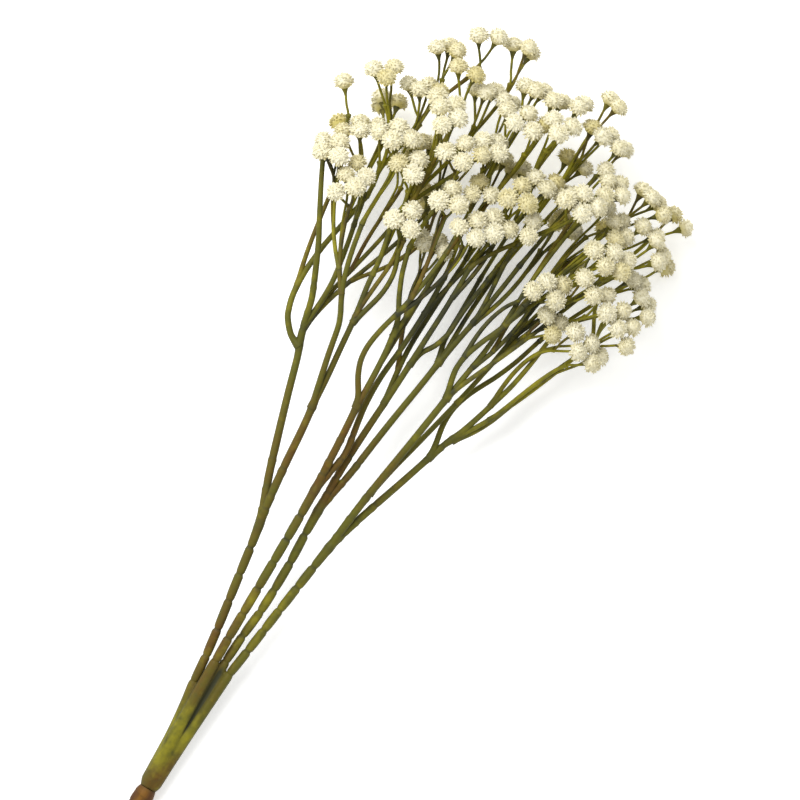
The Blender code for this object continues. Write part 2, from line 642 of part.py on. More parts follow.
def twig_object(twig):
    """A twig whose knuckle parts into the stalks, each growing from one face of its end."""
    line, radii = twig.faceted()
    bm = bmesh.new()
    rings = add_rings(bm, line, radii, SIDES["twig"])
    bm.faces.new(rings[0][::-1])
    end = rings[-1]
    out = Vector(unit(line[-1] - line[-2]))
    if len(twig.stalks) == 1:
        grow_stalk(bm, end, twig.stalks[0])
        return new_object("twig", bm)
    crown = bm.verts.new((Vector(line[-1]) + out * KNUCKLE_CROWN) * MM)
    roots = [[end[n], end[(n + 1) % len(end)], crown] for n in range(len(end))]
    centre = Vector(line[-1]) * MM
    axis = (end[0].co - centre).normalized()
    turn = out.cross(axis)

    def bearing(offset):
        return math.atan2(offset.dot(turn), offset.dot(axis)) % (2 * math.pi)

    roots.sort(key=lambda root: bearing((root[0].co + root[1].co) / 2 - centre))
    stalks = sorted(twig.stalks, key=lambda stalk: bearing(Vector(stalk[3]) * MM - centre))
    shifts = range(len(roots))

    def misfit(shift):
        total = 0
        for k, stalk in enumerate(stalks):
            root = roots[(shift + k * len(roots) // len(stalks)) % len(roots)]
            apart = bearing(Vector(stalk[3]) * MM - centre) - bearing((root[0].co + root[1].co) / 2 - centre)
            total += 1 - math.cos(apart)
        return total

    shift = min(shifts, key=misfit)
    used = [(shift + k * len(roots) // len(stalks)) % len(roots) for k in range(len(stalks))]
    for k, root in enumerate(roots):
        if k in used:
            grow_stalk(bm, root, stalks[used.index(k)])
        else:
            bm.faces.new(root)
    return new_object("twig", bm)


def grow_stalk(bm, root, stalk):
    """A stalk from a ring of vertices, thin to the foot of its cup and wide at the rim."""
    number, way, cup, rim = stalk
    way = Vector(way)
    middle = sum((vert.co for vert in root), Vector()) / len(root)
    side = root[0].co - middle
    side = (side - way * side.dot(way)).normalized()
    turn = way.cross(side)
    lower = root
    for place, radius in ((cup, STALK_RADIUS), (rim, CUP_RADIUS)):
        ring = []
        for n in range(len(root)):
            angle = 2 * math.pi * n / len(root)
            out = side * math.cos(angle) + turn * math.sin(angle)
            ring.append(bm.verts.new((Vector(place) + out * radius) * MM))
        join_rings(bm, lower, ring)
        lower = ring
    bm.faces.new(lower)


def best_spin(normals, way, joined, start):
    """The turn about a head's own axis that brings its faces best in line with the heads it joins."""
    fits = []
    for n in range(SPINS_TRIED):
        angle = start + n * HEAD_REPEATS_AFTER / SPINS_TRIED
        spin = Quaternion(way, angle)
        turned = [spin @ normal for normal in normals]
        fits.append((sum(max(normal.dot(other) for normal in turned) for other in joined), angle))
    return Quaternion(way, max(fits)[1])


def head_faces(bm, place, way, start, joined, near):
    """Adds one head: its lowest faces stay flat for the cup, and the others are petals where they have room.
    Gives the flat faces."""
    made = bmesh.ops.create_icosphere(bm, subdivisions=1, radius=HEAD_CORE * MM)["verts"]
    faces = list({face for vert in made for face in vert.link_faces})
    faces.sort(key=lambda face: tuple(round(c, 9) for c in face.calc_center_median()))
    seat = faces[0]
    seat.normal_update()
    stand = seat.normal.rotation_difference(-Vector(way))
    for vert in made:
        vert.co = stand @ vert.co
    for face in faces:
        face.normal_update()
    spin = best_spin([face.normal.copy() for face in faces], Vector(way), joined, start)
    for vert in made:
        vert.co = spin @ vert.co + Vector(place) * MM
    for face in faces:
        face.normal_update()
    seats = {seat} | {face for edge in seat.edges for face in edge.link_faces}
    close = math.cos(math.radians(PETAL_ROOM))
    plain = {face for face in faces if any(face.normal.dot(other) > close for other in near)}
    lowest = math.cos(math.radians(PETALS_WITHIN))
    plain |= {face for face in faces if face.normal.dot(Vector(way)) < lowest}
    petals = [face for face in faces if face not in seats | plain]
    bmesh.ops.poke(bm, faces=petals, offset=(HEAD_REACH - HEAD_SEAT) * MM)
    return [face for face in faces if face not in petals]


def join_heads(bm, first, second, way):
    """Joins two heads where they touch: a flat face of each is opened, and walls run between their edges."""
    near = max(first, key=lambda face: face.normal.dot(way))
    far = min(second, key=lambda face: face.normal.dot(way))
    first.remove(near)
    second.remove(far)
    lower = list(near.verts)
    upper = list(far.verts)[::-1]
    turned = [upper[start:] + upper[:start] for start in range(len(upper))]
    upper = min(turned, key=lambda ring: sum((a.co - b.co).length for a, b in zip(lower, ring)))
    bmesh.ops.delete(bm, geom=[near, far], context="FACES_ONLY")
    join_rings(bm, lower, upper)


def bunch_object(name, bunch, rng):
    """The heads of a bunch, each joined to the next where they touch."""
    bm = bmesh.new()
    flat = []
    for k, (place, way) in enumerate(zip(bunch.heads, bunch.ways)):
        joined = []
        near = []
        for n, other in enumerate(bunch.heads):
            apart = np.linalg.norm(other - place)
            if abs(n - k) == 1:
                joined.append(Vector(unit(other - place)))
            if 0 < apart < NEXT_HEAD_WITHIN:
                near.append(Vector(unit(other - place)))
        flat.append(head_faces(bm, place, way, rng.uniform(0, HEAD_REPEATS_AFTER), joined, near))
    for k in range(len(flat) - 1):
        join_heads(bm, flat[k], flat[k + 1], Vector(unit(bunch.heads[k + 1] - bunch.heads[k])))
    bmesh.ops.recalc_face_normals(bm, faces=bm.faces)
    return new_object(name, bm)


def fuse(name, things):
    """One body of all the things, by one union over a collection."""
    first = things[0]
    group = bpy.data.collections.new(name + "_pieces")
    bpy.context.scene.collection.children.link(group)
    for thing in things[1:]:
        bpy.context.scene.collection.objects.unlink(thing)
        group.objects.link(thing)
    union = first.modifiers.new("union", "BOOLEAN")
    union.operation = "UNION"
    union.operand_type = "COLLECTION"
    union.collection = group
    depsgraph = bpy.context.evaluated_depsgraph_get()
    joined = bpy.data.meshes.new_from_object(first.evaluated_get(depsgraph))
    first.modifiers.clear()
    first.data = joined
    for thing in things[1:]:
        bpy.data.objects.remove(thing)
    bpy.data.collections.remove(group)
    first.name = name
    joined.name = name
    return first


def round_off(solid):
    """Shades a round piece smooth, but not across its rims."""
    solid.data.shade_smooth()
    solid.data.set_sharp_from_angle(angle=SHARP_FROM)


def build_stub():
    end, top = np.array(STUB_END), np.array(STUB_TOP)
    length = STUB_PROFILE[-1][0]
    line = [end + (top - end) * at / length for at, radius in STUB_PROFILE]
    stub = tube_object("trunk_stub", line, [radius for at, radius in STUB_PROFILE], SIDES["stub"])
    paint(stub, BROWN, 0.55)
    round_off(stub)
    return stub


def build_sheath():
    ribs = []
    for points, (root, tip) in SHEATH_RIBS.values():
        line = smooth(points, SHEATH_STEP)
        ribs.append(tube_object("rib", line, np.linspace(root, tip, len(line)), SIDES["sheath"]))
    sheath = fuse("trunk_sheath", ribs)
    paint(sheath, GREEN, 0.5)
    round_off(sheath)
    return sheath


def build_spray(spray, tubes):
    """A spray's jointed stem, branches and twigs as one body. The stem starts clear of the sheath."""
    pieces = []
    for tube in tubes:
        if tube.kind == "twig":
            pieces.append(twig_object(tube))
            continue
        line, radii = tube.faceted()
        if tube.kind == "stem":
            line[0] += unit(line[1] - line[0]) * GAP
        pieces.append(tube_object(tube.kind, line, radii, SIDES[tube.kind]))
    solid = fuse("spray_" + spray, pieces)
    paint(solid, GREEN, 0.5)
    round_off(solid)
    return solid


def build_heads(number, bunch, rng):
    solid = bunch_object(f"flower_heads_{number:02d}", bunch, rng)
    paint(solid, CREAM, 0.6)
    return solid


def rest_on_table(solids):
    """Flattens what would reach below the table, and puts the origin below the middle of the whole stem."""
    points = np.array([vert.co for solid in solids for vert in solid.data.vertices])
    middle = (points.min(0) + points.max(0)) / 2
    for solid in solids:
        for vert in solid.data.vertices:
            vert.co.x -= middle[0]
            vert.co.y -= middle[1]
            vert.co.z = max(vert.co.z, 0.0)


def main():
    for thing in list(bpy.data.objects):
        bpy.data.objects.remove(thing)
    tubes, bunches = grow()
    trim_branches(tubes)
    solids = [build_stub(), build_sheath()]
    for spray in STEMS:
        solids.append(build_spray(spray, [tube for tube in tubes if tube.spray == spray]))
    rng = random.Random(SEED)
    for number, bunch in enumerate(bunches, 1):
        solids.append(build_heads(number, bunch, rng))
    rest_on_table(solids)


main()
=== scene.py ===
"""Finishes a moulded gypsophila stem that lies on a table: the brown cut end, the ribbed sheath, four jointed
sprays and their bunches of cream flower heads, with the table, the light and the camera above it. Growth is
worked out in millimetres, and meshes are made in metres."""

import functools
import math
import random

import bpy
import numpy as np
from bpy.props import FloatProperty, FloatVectorProperty, IntProperty, PointerProperty
from mathutils import Matrix, Quaternion, Vector


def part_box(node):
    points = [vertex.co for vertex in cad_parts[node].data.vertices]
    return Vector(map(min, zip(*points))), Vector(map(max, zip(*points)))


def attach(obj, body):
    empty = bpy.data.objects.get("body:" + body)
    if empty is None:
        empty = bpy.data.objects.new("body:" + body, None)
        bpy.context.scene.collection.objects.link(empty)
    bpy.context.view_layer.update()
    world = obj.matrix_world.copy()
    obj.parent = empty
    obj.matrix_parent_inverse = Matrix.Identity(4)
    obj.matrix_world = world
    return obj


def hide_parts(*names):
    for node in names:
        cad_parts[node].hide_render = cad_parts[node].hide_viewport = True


bl_info = {
    "name": "Gypsophila Stem",
    "version": (1, 0, 0),
    "blender": (4, 5, 0),
    "location": "3D View > Sidebar > Gypsophila",
    "description": "Models a moulded gypsophila stem on its frame",
    "category": "Object",
}

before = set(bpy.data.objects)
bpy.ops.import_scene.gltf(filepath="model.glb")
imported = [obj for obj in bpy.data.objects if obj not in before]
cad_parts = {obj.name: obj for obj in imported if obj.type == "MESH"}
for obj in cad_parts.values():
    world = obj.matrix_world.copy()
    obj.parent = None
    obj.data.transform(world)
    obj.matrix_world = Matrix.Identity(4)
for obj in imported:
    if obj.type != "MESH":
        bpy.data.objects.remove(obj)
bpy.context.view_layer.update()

MM = 0.001
UP = Vector((0, 0, 1))
# Measures this close are the same, and rods with a squared length or turn below these are points or parallel
SAME = 0.01
POINT_LIKE = 1e-9
PARALLEL = 1e-6
SEED = 11

# Flower head: its solid core's corners, how near to those the core's faces lie, how far the petals reach, how
# deep it sits on its cup, and how far it stands off its place in the bunch
HEAD_CORE = 3.6
CORE_FACES = 0.7947
HEAD_REACH = 4.8
HEAD_SEAT = CORE_FACES * HEAD_CORE
HEAD_WANDER = 0.5

# Heads of one bunch stand in a zigzag on a shallow dome, which is turned by up to this many degrees
HEAD_PITCH = 8.2
BUNCH_CURVE = 45.0
BUNCH_TURN = 20.0

# Stalk of one head and the cup at its top, and how far below its heads a knuckle may be
STALK_RADIUS = 0.6
CUP_RADIUS = 1.45
CUP_LENGTH = 3.2
STALK_LENGTHS = (17.0, 14.5, 20.0)

# Twig from a branch to the knuckle where a bunch's stalks part
TWIG_ROOT = 1.1
TWIG_ROOT_SHARE = 0.9
TWIG_TIP = 0.85
TWIG_STEP = 4.0
TWIG_LEAN = 0.7
TWIG_PULL = 0.8
TWIG_BOWS = ((0, 0), (3, 0), (-3, 0), (0, 3), (0, -3))
TWIG_CLEAR_FROM = 16.0
KNUCKLE_RADIUS = 1.3
KNUCKLE_LENGTH = 2.4
MOST_STALKS_TOGETHER = 4

# Which twigs are taken: their lengths, the degrees that they may turn by, and how much each counts
TWIG_SHORTEST = 10.0
TWIG_LONGEST = 105.0
TWIG_BEST_LENGTH = 42.0
MOST_LEAVING = 45.0
MOST_ARRIVING = 75.0
LENGTH_SCALE = 45.0
LEAVING_SCALE = 30.0
ARRIVING_SCALE = 60.0
UNUSED_TIP_FAVOUR = 2.2

# Jointed stem between the sheath and the first fork
STEM_NECK = 1.75
STEM_BODY = 2.12
STEM_TAPER = 0.05
JOINT_SHORT = 11.5
JOINT_LONG = 14.5
JOINT_LIP = 1.3

# Cut end
STUB_END = (0.0, 1.2, 4.3)
STUB_TOP = (25.0, 1.2, 6.4)
# Distance from the cut, and radius there
STUB_PROFILE = ((0.0, 4.5), (1.0, 4.8), (7.0, 4.8), (21.5, 4.8), (25.0, 4.3))

# What doesn't touch is this far apart
GAP = 0.3
# Steps along stems and branches, how near a fork counts as one, and how straight a line's faceted pieces are
STEM_STEP = 2.0
BRANCH_STEP = 5.0
FORK_WITHIN = 6.0
STRAIGHT_WITHIN = 0.65

# Bunches fan out from FAN_POINT, the more upwards or downwards the further from its height, and their own
# heights depend on their level and on how far out they are
FAN_POINT = (232.0, 0.0, 26.0)
FAN_LIFT = 4.5
TWIGS_FROM = FAN_POINT[0] - 10.0
BUNCH_TOP = 57.0
BUNCH_TOP_AT_SIDES = 30.0
BUNCH_MIDDLE = 20.0
BUNCH_BOTTOM = 8.5
BUNCH_BOTTOM_RISE = 0.05
BUNCH_HALF_WIDTH = 98.0
RESTING_HEIGHT = 4.2
LOWEST_HEAD = HEAD_REACH + 1.0
LOWEST_KNUCKLE = 2.5
LOWEST_TWIG = 2.0

# Each spray's stem, from the sheath to its first fork
STEMS = {
    "a": [(77, 8.2, 9.8), (90, 9.5, 11.2), (105, 11.6, 13), (125, 14.8, 15.4), (147, 18.2, 18),
          (158, 20.4, 19)],
    "b": [(90, 4.6, 13.9), (105, 4.9, 15.6), (130, 5.1, 18.4), (160, 5.4, 21.8), (185, 6, 24.6)],
    "c": [(92, 0.6, 11.4), (105, 0, 11.9), (118, -1.2, 12.8), (140, -1.6, 14.5), (160, -0.6, 16.2),
          (178, 0, 17.8)],
    "d": [(88, -3.8, 11.2), (100, -5.4, 12), (115, -7.2, 13.2), (133, -9.4, 14.6), (155, -12.3, 16.5),
          (168, -14.2, 17.8)],
}

# The sheath's ribs, one running out to each stem, and the body between them: places and radii
SHEATH_RIBS = {
    "a": ([(25.3, 2.6, 6.6), (50, 4.2, 8), (65, 6.1, 8.8), (77, 8.2, 9.8)], (3.6, 2.3)),
    "b": ([(25.3, 1.8, 7.2), (50, 3, 9.7), (90, 4.6, 13.9)], (3.8, 2.3)),
    "c": ([(25.3, 0.4, 6.4), (50, 0.6, 7.9), (92, 0.6, 11.4)], (3.8, 2.2)),
    "d": ([(25.3, -0.2, 6.6), (50, -1.4, 8.2), (88, -3.8, 11.2)], (3.4, 2.2)),
    "body": ([(25.3, 1.4, 6.9), (50, 2.6, 8.9), (82, 3, 11.8)], (4.7, 2.2)),
}

# Branches: spray, radius at the root, radius at the tip, places
BRANCHES = [
    ("a", 2.0, 1.6, [(154, 19.6, 18.6), (162, 22.4, 19.2), (175, 27.3, 19.6), (190, 32.2, 20),
        (210, 38.5, 21), (227, 43.6, 22), (234, 46.6, 22.4)]),
    ("a", 1.5, 1.1, [(231, 45.3, 22.2), (233.5, 51, 22.5), (239, 56, 22.5), (248, 59.3, 22),
        (260, 60.3, 21.5), (275, 59.2, 21), (290, 56.5, 20), (304, 54, 18)]),
    ("a", 1.6, 1.1, [(231, 45.4, 22.2), (242, 48.8, 24.5), (252, 51.3, 27), (262, 55.5, 29), (275, 61.5, 31),
        (286, 67.5, 32.5), (300, 75, 33.5), (308, 79, 34)]),
    ("a", 1.3, 1.0, [(240, 48.2, 24), (250, 47.3, 24.5), (262, 47.2, 25.5), (275, 49, 27), (290, 52, 29.5),
        (303, 56, 33)]),
    ("a", 2.0, 1.7, [(152, 19.2, 18.4), (166, 21.4, 21), (183, 23.3, 24), (200, 24.8, 26.5),
        (214, 26.5, 28.5)]),
    ("a", 1.5, 1.1, [(210, 26.1, 28), (222, 29, 31), (235, 32, 34), (249, 35, 37), (257, 38.8, 38.5),
        (265, 42.5, 39.5), (278, 46.3, 41), (292, 49, 43)]),
    ("a", 1.5, 1.1, [(210, 26.1, 28), (225, 27.2, 29.5), (240, 28.8, 30.5), (255, 30.4, 31.5),
        (270, 32.8, 32.5), (285, 34.5, 34), (300, 38, 36)]),
    ("a", 1.3, 1.0, [(252, 30.1, 31.3), (262, 27.4, 32), (271, 25.4, 33), (281, 25.6, 34.5), (291, 29, 37),
        (300, 33, 40)]),
    ("b", 1.9, 1.6, [(179, 5.8, 23.9), (192, 6.8, 26.5), (207, 7.8, 30), (223, 9.2, 33.5)]),
    ("b", 1.4, 1.0, [(221, 9, 33), (226, 11.2, 34.5), (232, 14.9, 36), (239, 17.9, 37.5), (247, 18.7, 39),
        (257, 17.2, 40.5), (270, 14, 42.5), (285, 11.5, 44.5), (300, 10, 46)]),
    ("b", 1.5, 1.1, [(220, 9, 32.8), (235, 9.5, 34), (250, 10.6, 35), (263, 13, 35.5), (272, 17.5, 36),
        (282, 22, 37), (294, 25.5, 39)]),
    ("b", 1.3, 1.0, [(256, 11.4, 35.2), (268, 10.5, 33.5), (282, 9.5, 31), (297, 10, 28)]),
    ("b", 1.6, 1.1, [(180, 5.6, 23.8), (190, 4, 24.4), (200, 2.6, 25), (210, 4, 25.6), (222, 6, 26.2),
        (237, 6.6, 27), (255, 5.2, 28.5), (272, 4.6, 31), (290, 5, 35)]),
    ("c", 1.8, 1.1, [(172, -0.2, 17.3), (188, 0.4, 18.8), (203, 0.3, 20), (218, -0.3, 22), (232, -1, 24),
        (247, -1.6, 26), (262, -2, 29), (280, -2.5, 33), (300, -2.5, 37)]),
    ("c", 1.3, 1.0, [(249, -1.7, 26.3), (257, -3.6, 26), (263, -7.2, 25.8), (270, -9.3, 26), (282, -10, 27),
        (300, -12, 29)]),
    ("c", 1.3, 1.0, [(228, -0.8, 23.4), (240, 1, 23), (255, 2.4, 22.5), (272, 2.2, 21.5), (290, 1.5, 20),
        (303, 1, 18)]),
    ("c", 1.7, 1.4, [(172, -0.2, 17.2), (184, -2.3, 17.4), (195, -4.2, 17.8), (210, -6, 18.4),
        (226, -8.1, 19.2), (243, -10.6, 20.2), (260, -12.8, 21.4)]),
    ("c", 1.3, 1.0, [(257, -12.4, 21.2), (266, -9.6, 20.5), (280, -9.3, 19), (298, -9, 16)]),
    ("c", 1.4, 1.1, [(256, -12.3, 21.1), (270, -14.6, 23.5), (285, -17.3, 26.5), (300, -19.5, 30),
        (312, -21, 33)]),
    ("d", 1.8, 1.5, [(160, -13, 17), (172, -14, 19.2), (185, -15.4, 21.8), (200, -17.4, 25),
        (220, -20.3, 29), (240, -23, 32.5), (248, -24.2, 34)]),
    ("d", 1.4, 1.0, [(245, -23.8, 33.4), (251, -21.9, 35), (257, -20.6, 36.5), (265, -21, 38.5),
        (275, -24.4, 40.5), (286, -29, 42.5), (298, -32, 45)]),
    ("d", 1.4, 1.0, [(244, -23.6, 33.2), (258, -25.6, 34), (272, -27.5, 35), (288, -28.6, 36.5),
        (305, -29, 38.5)]),
    ("d", 1.4, 1.0, [(190, -16.2, 22.6), (205, -19.2, 22.6), (220, -22.8, 22.8), (235, -26.3, 23.4),
        (250, -29.6, 24), (265, -32.5, 25), (282, -35, 26)]),
    ("d", 1.8, 1.5, [(160, -13, 17), (172, -16.2, 17), (185, -20.2, 17), (200, -25.1, 17.2),
        (213, -29.2, 17.6), (222, -32, 18)]),
    ("d", 1.4, 1.0, [(218, -31, 18), (226, -29.9, 18.6), (234, -28.5, 19), (243, -28.8, 19.3),
        (253, -32, 20), (264, -37.5, 21), (275, -42, 22.5), (288, -46, 24.5)]),
    ("d", 1.6, 1.5, [(217, -30.7, 17.9), (227, -33.8, 17.4), (234, -37.4, 17)]),
    ("d", 1.4, 1.0, [(230, -35.4, 17.2), (240, -38.8, 18), (252, -42.4, 19.5), (265, -46, 22),
        (280, -48.5, 25), (294, -50, 28)]),
    ("d", 1.4, 1.0, [(230, -35.6, 17.1), (237, -41, 15.4), (246, -45.9, 14.2), (259, -50.8, 13.5),
        (272, -56, 14), (285, -61.3, 15), (297, -67, 16.5)]),
]

# Bunches: distance along, distance across, level, heads, and the way the bunch runs in degrees
RESTING, LOW, MIDDLE, TOP = range(4)
BUNCHES = [
    (347, -78, RESTING, 1, 0), (327, 82, RESTING, 1, 0), (343, 89, MIDDLE, 1, 0), (315, 79, TOP, 4, 60),
    (331, 71, MIDDLE, 5, 20), (308, 63, TOP, 5, 10), (353, 78, TOP, 3, -50), (346, 69, LOW, 3, 60),
    (335, 57, TOP, 4, -40), (328, 49, LOW, 2, 90), (360, 57, MIDDLE, 4, -60), (378, 60, MIDDLE, 3, 85),
    (325, 43, TOP, 3, -55), (340, 38, MIDDLE, 5, -40), (356, 42, TOP, 5, 15), (376, 44, MIDDLE, 2, 0),
    (394, 41, MIDDLE, 2, 0), (398, 27, MIDDLE, 3, -20), (374, 28, MIDDLE, 5, -80), (305, 33, TOP, 3, 70),
    (321, 28, LOW, 4, -10), (348, 22, TOP, 7, -50), (305, 15, MIDDLE, 4, 80), (322, 17, TOP, 3, 0),
    (385, 9, MIDDLE, 5, -60), (370, 10, TOP, 5, -60), (320, 1, TOP, 6, -15), (333, 7, MIDDLE, 3, 10),
    (350, 4, MIDDLE, 5, -60), (390, -8, MIDDLE, 2, 20), (376, -6, TOP, 3, 10), (339, -6, TOP, 3, -30),
    (351, -17, MIDDLE, 5, -50), (330, -14, TOP, 2, 60), (354, -31, TOP, 4, -40), (366, -22, MIDDLE, 3, 80),
    (398, -20, MIDDLE, 2, -70), (383, -27, MIDDLE, 5, -80), (369, -39, MIDDLE, 5, -20),
    (348, -44, MIDDLE, 4, -60), (306, -32, TOP, 1, 0), (313, -41, MIDDLE, 3, 60), (326, -43, LOW, 1, 0),
    (303, -51, MIDDLE, 3, -45), (321, -53, MIDDLE, 2, -45), (336, -56, TOP, 5, -50),
    (351, -56, MIDDLE, 5, 0), (366, -58, MIDDLE, 4, -80), (302, -67, MIDDLE, 5, -75),
    (315, -72, TOP, 6, -80), (330, -76, MIDDLE, 5, 60), (353, -69, MIDDLE, 5, 0), (368, -73, LOW, 2, 0),
    (340, -30, MIDDLE, 4, -60),
]

# A bunch that finds no room where it is wanted moves by the least of these steps that gives it room
SHIFTS_LEVEL = (-9, -6, -3, 0, 3, 6, 9)
SHIFTS_UPRIGHT = range(-24, 25, 2)
# Level steps count this much more, and this many places and twigs are tried
LEVEL_SHIFTS_COUNT = 4
SHIFTS_TRIED = 120
TWIGS_TRIED = 20
TWIGS_TRIED_APART = 10

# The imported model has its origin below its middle, and growth starts at the cut, whose tilted end reaches
# back by its radius times the tilt
STUB_RUN = np.array(STUB_TOP) - STUB_END
STUB_BACK = STUB_PROFILE[0][1] * STUB_RUN[2] / np.linalg.norm(STUB_RUN)
STUB_LOW, STUB_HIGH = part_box("trunk_stub")
FRAME_SHIFT = np.array((
    STUB_LOW.x / MM + STUB_BACK - STUB_END[0],
    (STUB_LOW.y + STUB_HIGH.y) / 2 / MM - STUB_END[1],
    0.0,
))

# Finer steps along each kind of stem, and its sides
FINE_STEPS = {"stem": 0.6, "branch": 1.2, "twig": 1.4}
FINE_SIDES = {"stem": 18, "branch": 14, "twig": 10}
# Stems with their cups, and the wrapped end, keep sharp edges from these angles on
STEM_SHARP_FROM = 60.0
STUB_SHARP_FROM = 40.0

# A joint of the stem from neck to neck: place along it, and radius as a share of the body's
JOINT_PROFILE = (
    (0.0, 0.84), (0.03, 0.89), (0.1, 0.97), (0.3, 1.0), (0.6, 1.0), (0.8, 1.01), (0.9, 1.04), (0.96, 1.05),
    (1.0, 0.87),
)
# How far a joint's dark neck reaches as a share of its length, how much narrower it is on one side, and how
# deep the necks are at least and at most
JOINT_SEAM = 0.035
NECK_NOTCH = 0.24
NOTCH_DEPTHS = (0.3, 1.0)
# How much each stem's joints swell in their middle
BEADING = {"a": 0.05, "b": 0.05, "c": 0.11, "d": 0.08}

# Thick branches have a few collars near their root: from which radius on, where they are and how much that
# differs, how high and wide they are, and how far after each its neck lies and how wide that is
COLLARS_FROM_RADIUS = 1.55
COLLAR_PLACES = (7.0, 15.5, 27.0)
COLLAR_WANDER = 1.5
COLLAR_RISE = 0.10
COLLAR_WIDTH = 1.1
COLLAR_NECK_AFTER = 1.9
COLLAR_NECK_WIDTH = 0.7
COLLAR_SEAM = 0.8
COLLAR_SEAM_WIDTH = 0.6

# Branches and twigs are this share fuller than their faceted solids
FULLNESS = {"branch": 0.03, "twig": 0.09}
# How much a tube swells and gets painted shade where another leaves it, and how much the other flares at its
# root and gets painted shade there
FORK_SWELL = 0.06
FORK_SWELL_LENGTH = 2.2
FORK_SHADE = 0.5
ROOT_FLARE = 0.4
BRANCH_ROOT_FLARE = 0.08
ROOT_FLARE_LENGTH = 2.5
ROOT_SHADE = 0.6

# The rounded end of a twig: how far past its knuckle, and the radius there
KNUCKLE_ENDS = ((0.45, 0.81), (0.75, 0.2025))

# A stalk's sides, how far it bows, its steps, and its radii at both ends
STALK_SIDES = 7
STALK_BOW = 0.35
STALK_STEP = 2.5
STALK_SIZES = (0.5, 0.62)
# A stalk runs beside its twig over this length, though over no more than this share of the twig, and this
# far off at most
BESIDE_LENGTHS = (12.0, 42.0)
BESIDE_SHARE = 0.7
BESIDE_APART = 2.1
BESIDE_PLACES = (0.0, 0.35, 0.7, 1.0)
BESIDE_UNEVEN = 0.5

# Cup under a head: distance from its foot, radius, and how far each second point stands out and up as a tooth
CUP_SIDES = 10
CUP_PROFILE = (
    (0.0, 0.60, 0.0, 0.0), (1.1, 0.80, 0.0, 0.0), (2.2, 1.15, 0.0, 0.0), (3.0, 1.50, 0.0, 0.0),
    (3.5, 1.60, 0.45, 0.9), (3.4, 1.45, 0.45, 0.9), (3.0, 1.25, 0.0, 0.0),
)

# Patches of brown, dark green and yellow, stretched along the stems: along, across, reach and strength
# The dark patches are partly painted shade deep in the bunch, and the broad yellow ones there are partly
# painted light on its shaded twigs
PATCH_STRETCH = 2.5
PATCHES = {
    "brown": (
        (28, 1, 8, 1.0), (38, -5, 8, 1.0), (74, 5, 12, 0.6), (97, 10, 14, 1.0), (118, 6, 14, 0.6),
        (140, 17, 12, 0.5), (190, 22, 24, 0.8), (203, 7, 20, 0.9), (185, 2, 12, 0.8), (200, -20, 12, 0.5),
        (235, 24, 16, 0.5), (285, -46, 14, 0.4),
    ),
    "dark": (
        (36, -7, 6, 0.45), (290, -10, 24, 0.8), (300, -36, 18, 0.7), (268, 3, 18, 0.8), (262, 30, 16, 0.5),
        (325, 22, 20, 0.2), (312, 70, 14, 0.4), (300, 42, 14, 0.5),
    ),
    "yellow": (
        (46, 4, 12, 0.9), (60, 4, 10, 0.7), (112, 0, 12, 0.7), (128, -8, 14, 0.5), (255, 58, 16, 0.4),
        (270, -52, 22, 0.8), (300, -62, 18, 0.8), (275, 20, 12, 0.6), (240, -35, 12, 0.5), (330, 50, 32, 0.9),
        (345, -8, 28, 0.9), (340, -62, 28, 0.9), (374, 12, 26, 0.9),
    ),
}

# The sheath is melted together at this grain, with this much smoothing
SHEATH_STEP = 1.0
SHEATH_GRAIN = 0.32
SHEATH_SIDES = 32
SHEATH_SMOOTHING = 8
# Its ribs are no thicker at their feet than the neck, widen by the flare from there, and narrow at their tops
SHEATH_NECK = 2.5
SHEATH_FLARE = 0.30
RIB_END = 0.14
RIB_END_LENGTH = 1.1
# The painted shade in the crease at its foot and in the grooves between its ribs: where they start, and over
# what length they do
SHEATH_START = 25.3
FOOT_SHADE = 0.2
FOOT_SHADE_LENGTH = 1.0
GROOVE_SHADE = 0.45
GROOVE_WIDTH = 0.7
GROOVE_FROM = 48.0
GROOVE_STARTS_OVER = 12.0
# The hollow along its top, darkened with painted shade and sunk: from, to, its middle and half width across,
# and its half width at the start
HOLLOW_SHADE = 2.4
HOLLOW = (50.0, 90.0, 0.2, 1.2)
HOLLOW_NARROW = 0.25
HOLLOW_FULL_AT = 74.0
HOLLOW_STARTS_OVER = 10.0
HOLLOW_ENDS_OVER = 4.0
HOLLOW_SUNK = 1.0

# The wrapped end: turns of its tape, how proud and dark each edge is, its lumps, its rounded and darker top,
# and its sides and the finer steps along it
WRAP_PITCH = 4.6
WRAP_EDGE = 0.16
WRAP_EDGE_WIDTH = 0.05
WRAP_SEAM = 0.6
WRAP_LUMP = 0.12
WRAP_LUMP_TURN = 0.9
WRAP_ROUNDING = 0.4
WRAP_ROUNDING_LENGTH = 1.1
WRAP_END_SEAM = 0.4
STUB_SIDES = 64
STUB_CUTS = 60
# The cut is stepped: how far in each step starts, and how far it rises
CUT_STEPS = ((0.25, -0.2), (0.35, 0.35))

# Petals of a head, from its top to its skirt, in degrees from its axis
CORE_RADIUS = 3.75
PETAL_TOP = 8.0
PETAL_SKIRT = 112.0
PETAL_ROOT = 1.7
GOLDEN_ANGLE = math.pi * (3 - math.sqrt(5))
HEAD_KINDS = 4
# A petal along its length: place, half width, half thickness and lift, as shares of its own
PETAL_STATIONS = (
    (0.0, 0.60, 1.0, 0.0), (0.45, 0.95, 1.0, -0.05), (0.78, 0.85, 0.8, 0.0), (1.0, 0.16, 0.5, 0.08),
)
PETAL_LENGTH = 3.1
PETAL_CUPPING = 0.22
PETAL_EDGE_FROM = 0.3
PETAL_CURLS = (1.0, -0.6, 0.2)
PETAL_SHARP_FROM = 100.0
PETAL_REACH = (0.95, 1.10)
# How much shorter the petals at the head's top are than those at its sides
PETAL_FLATTENING = 0.12
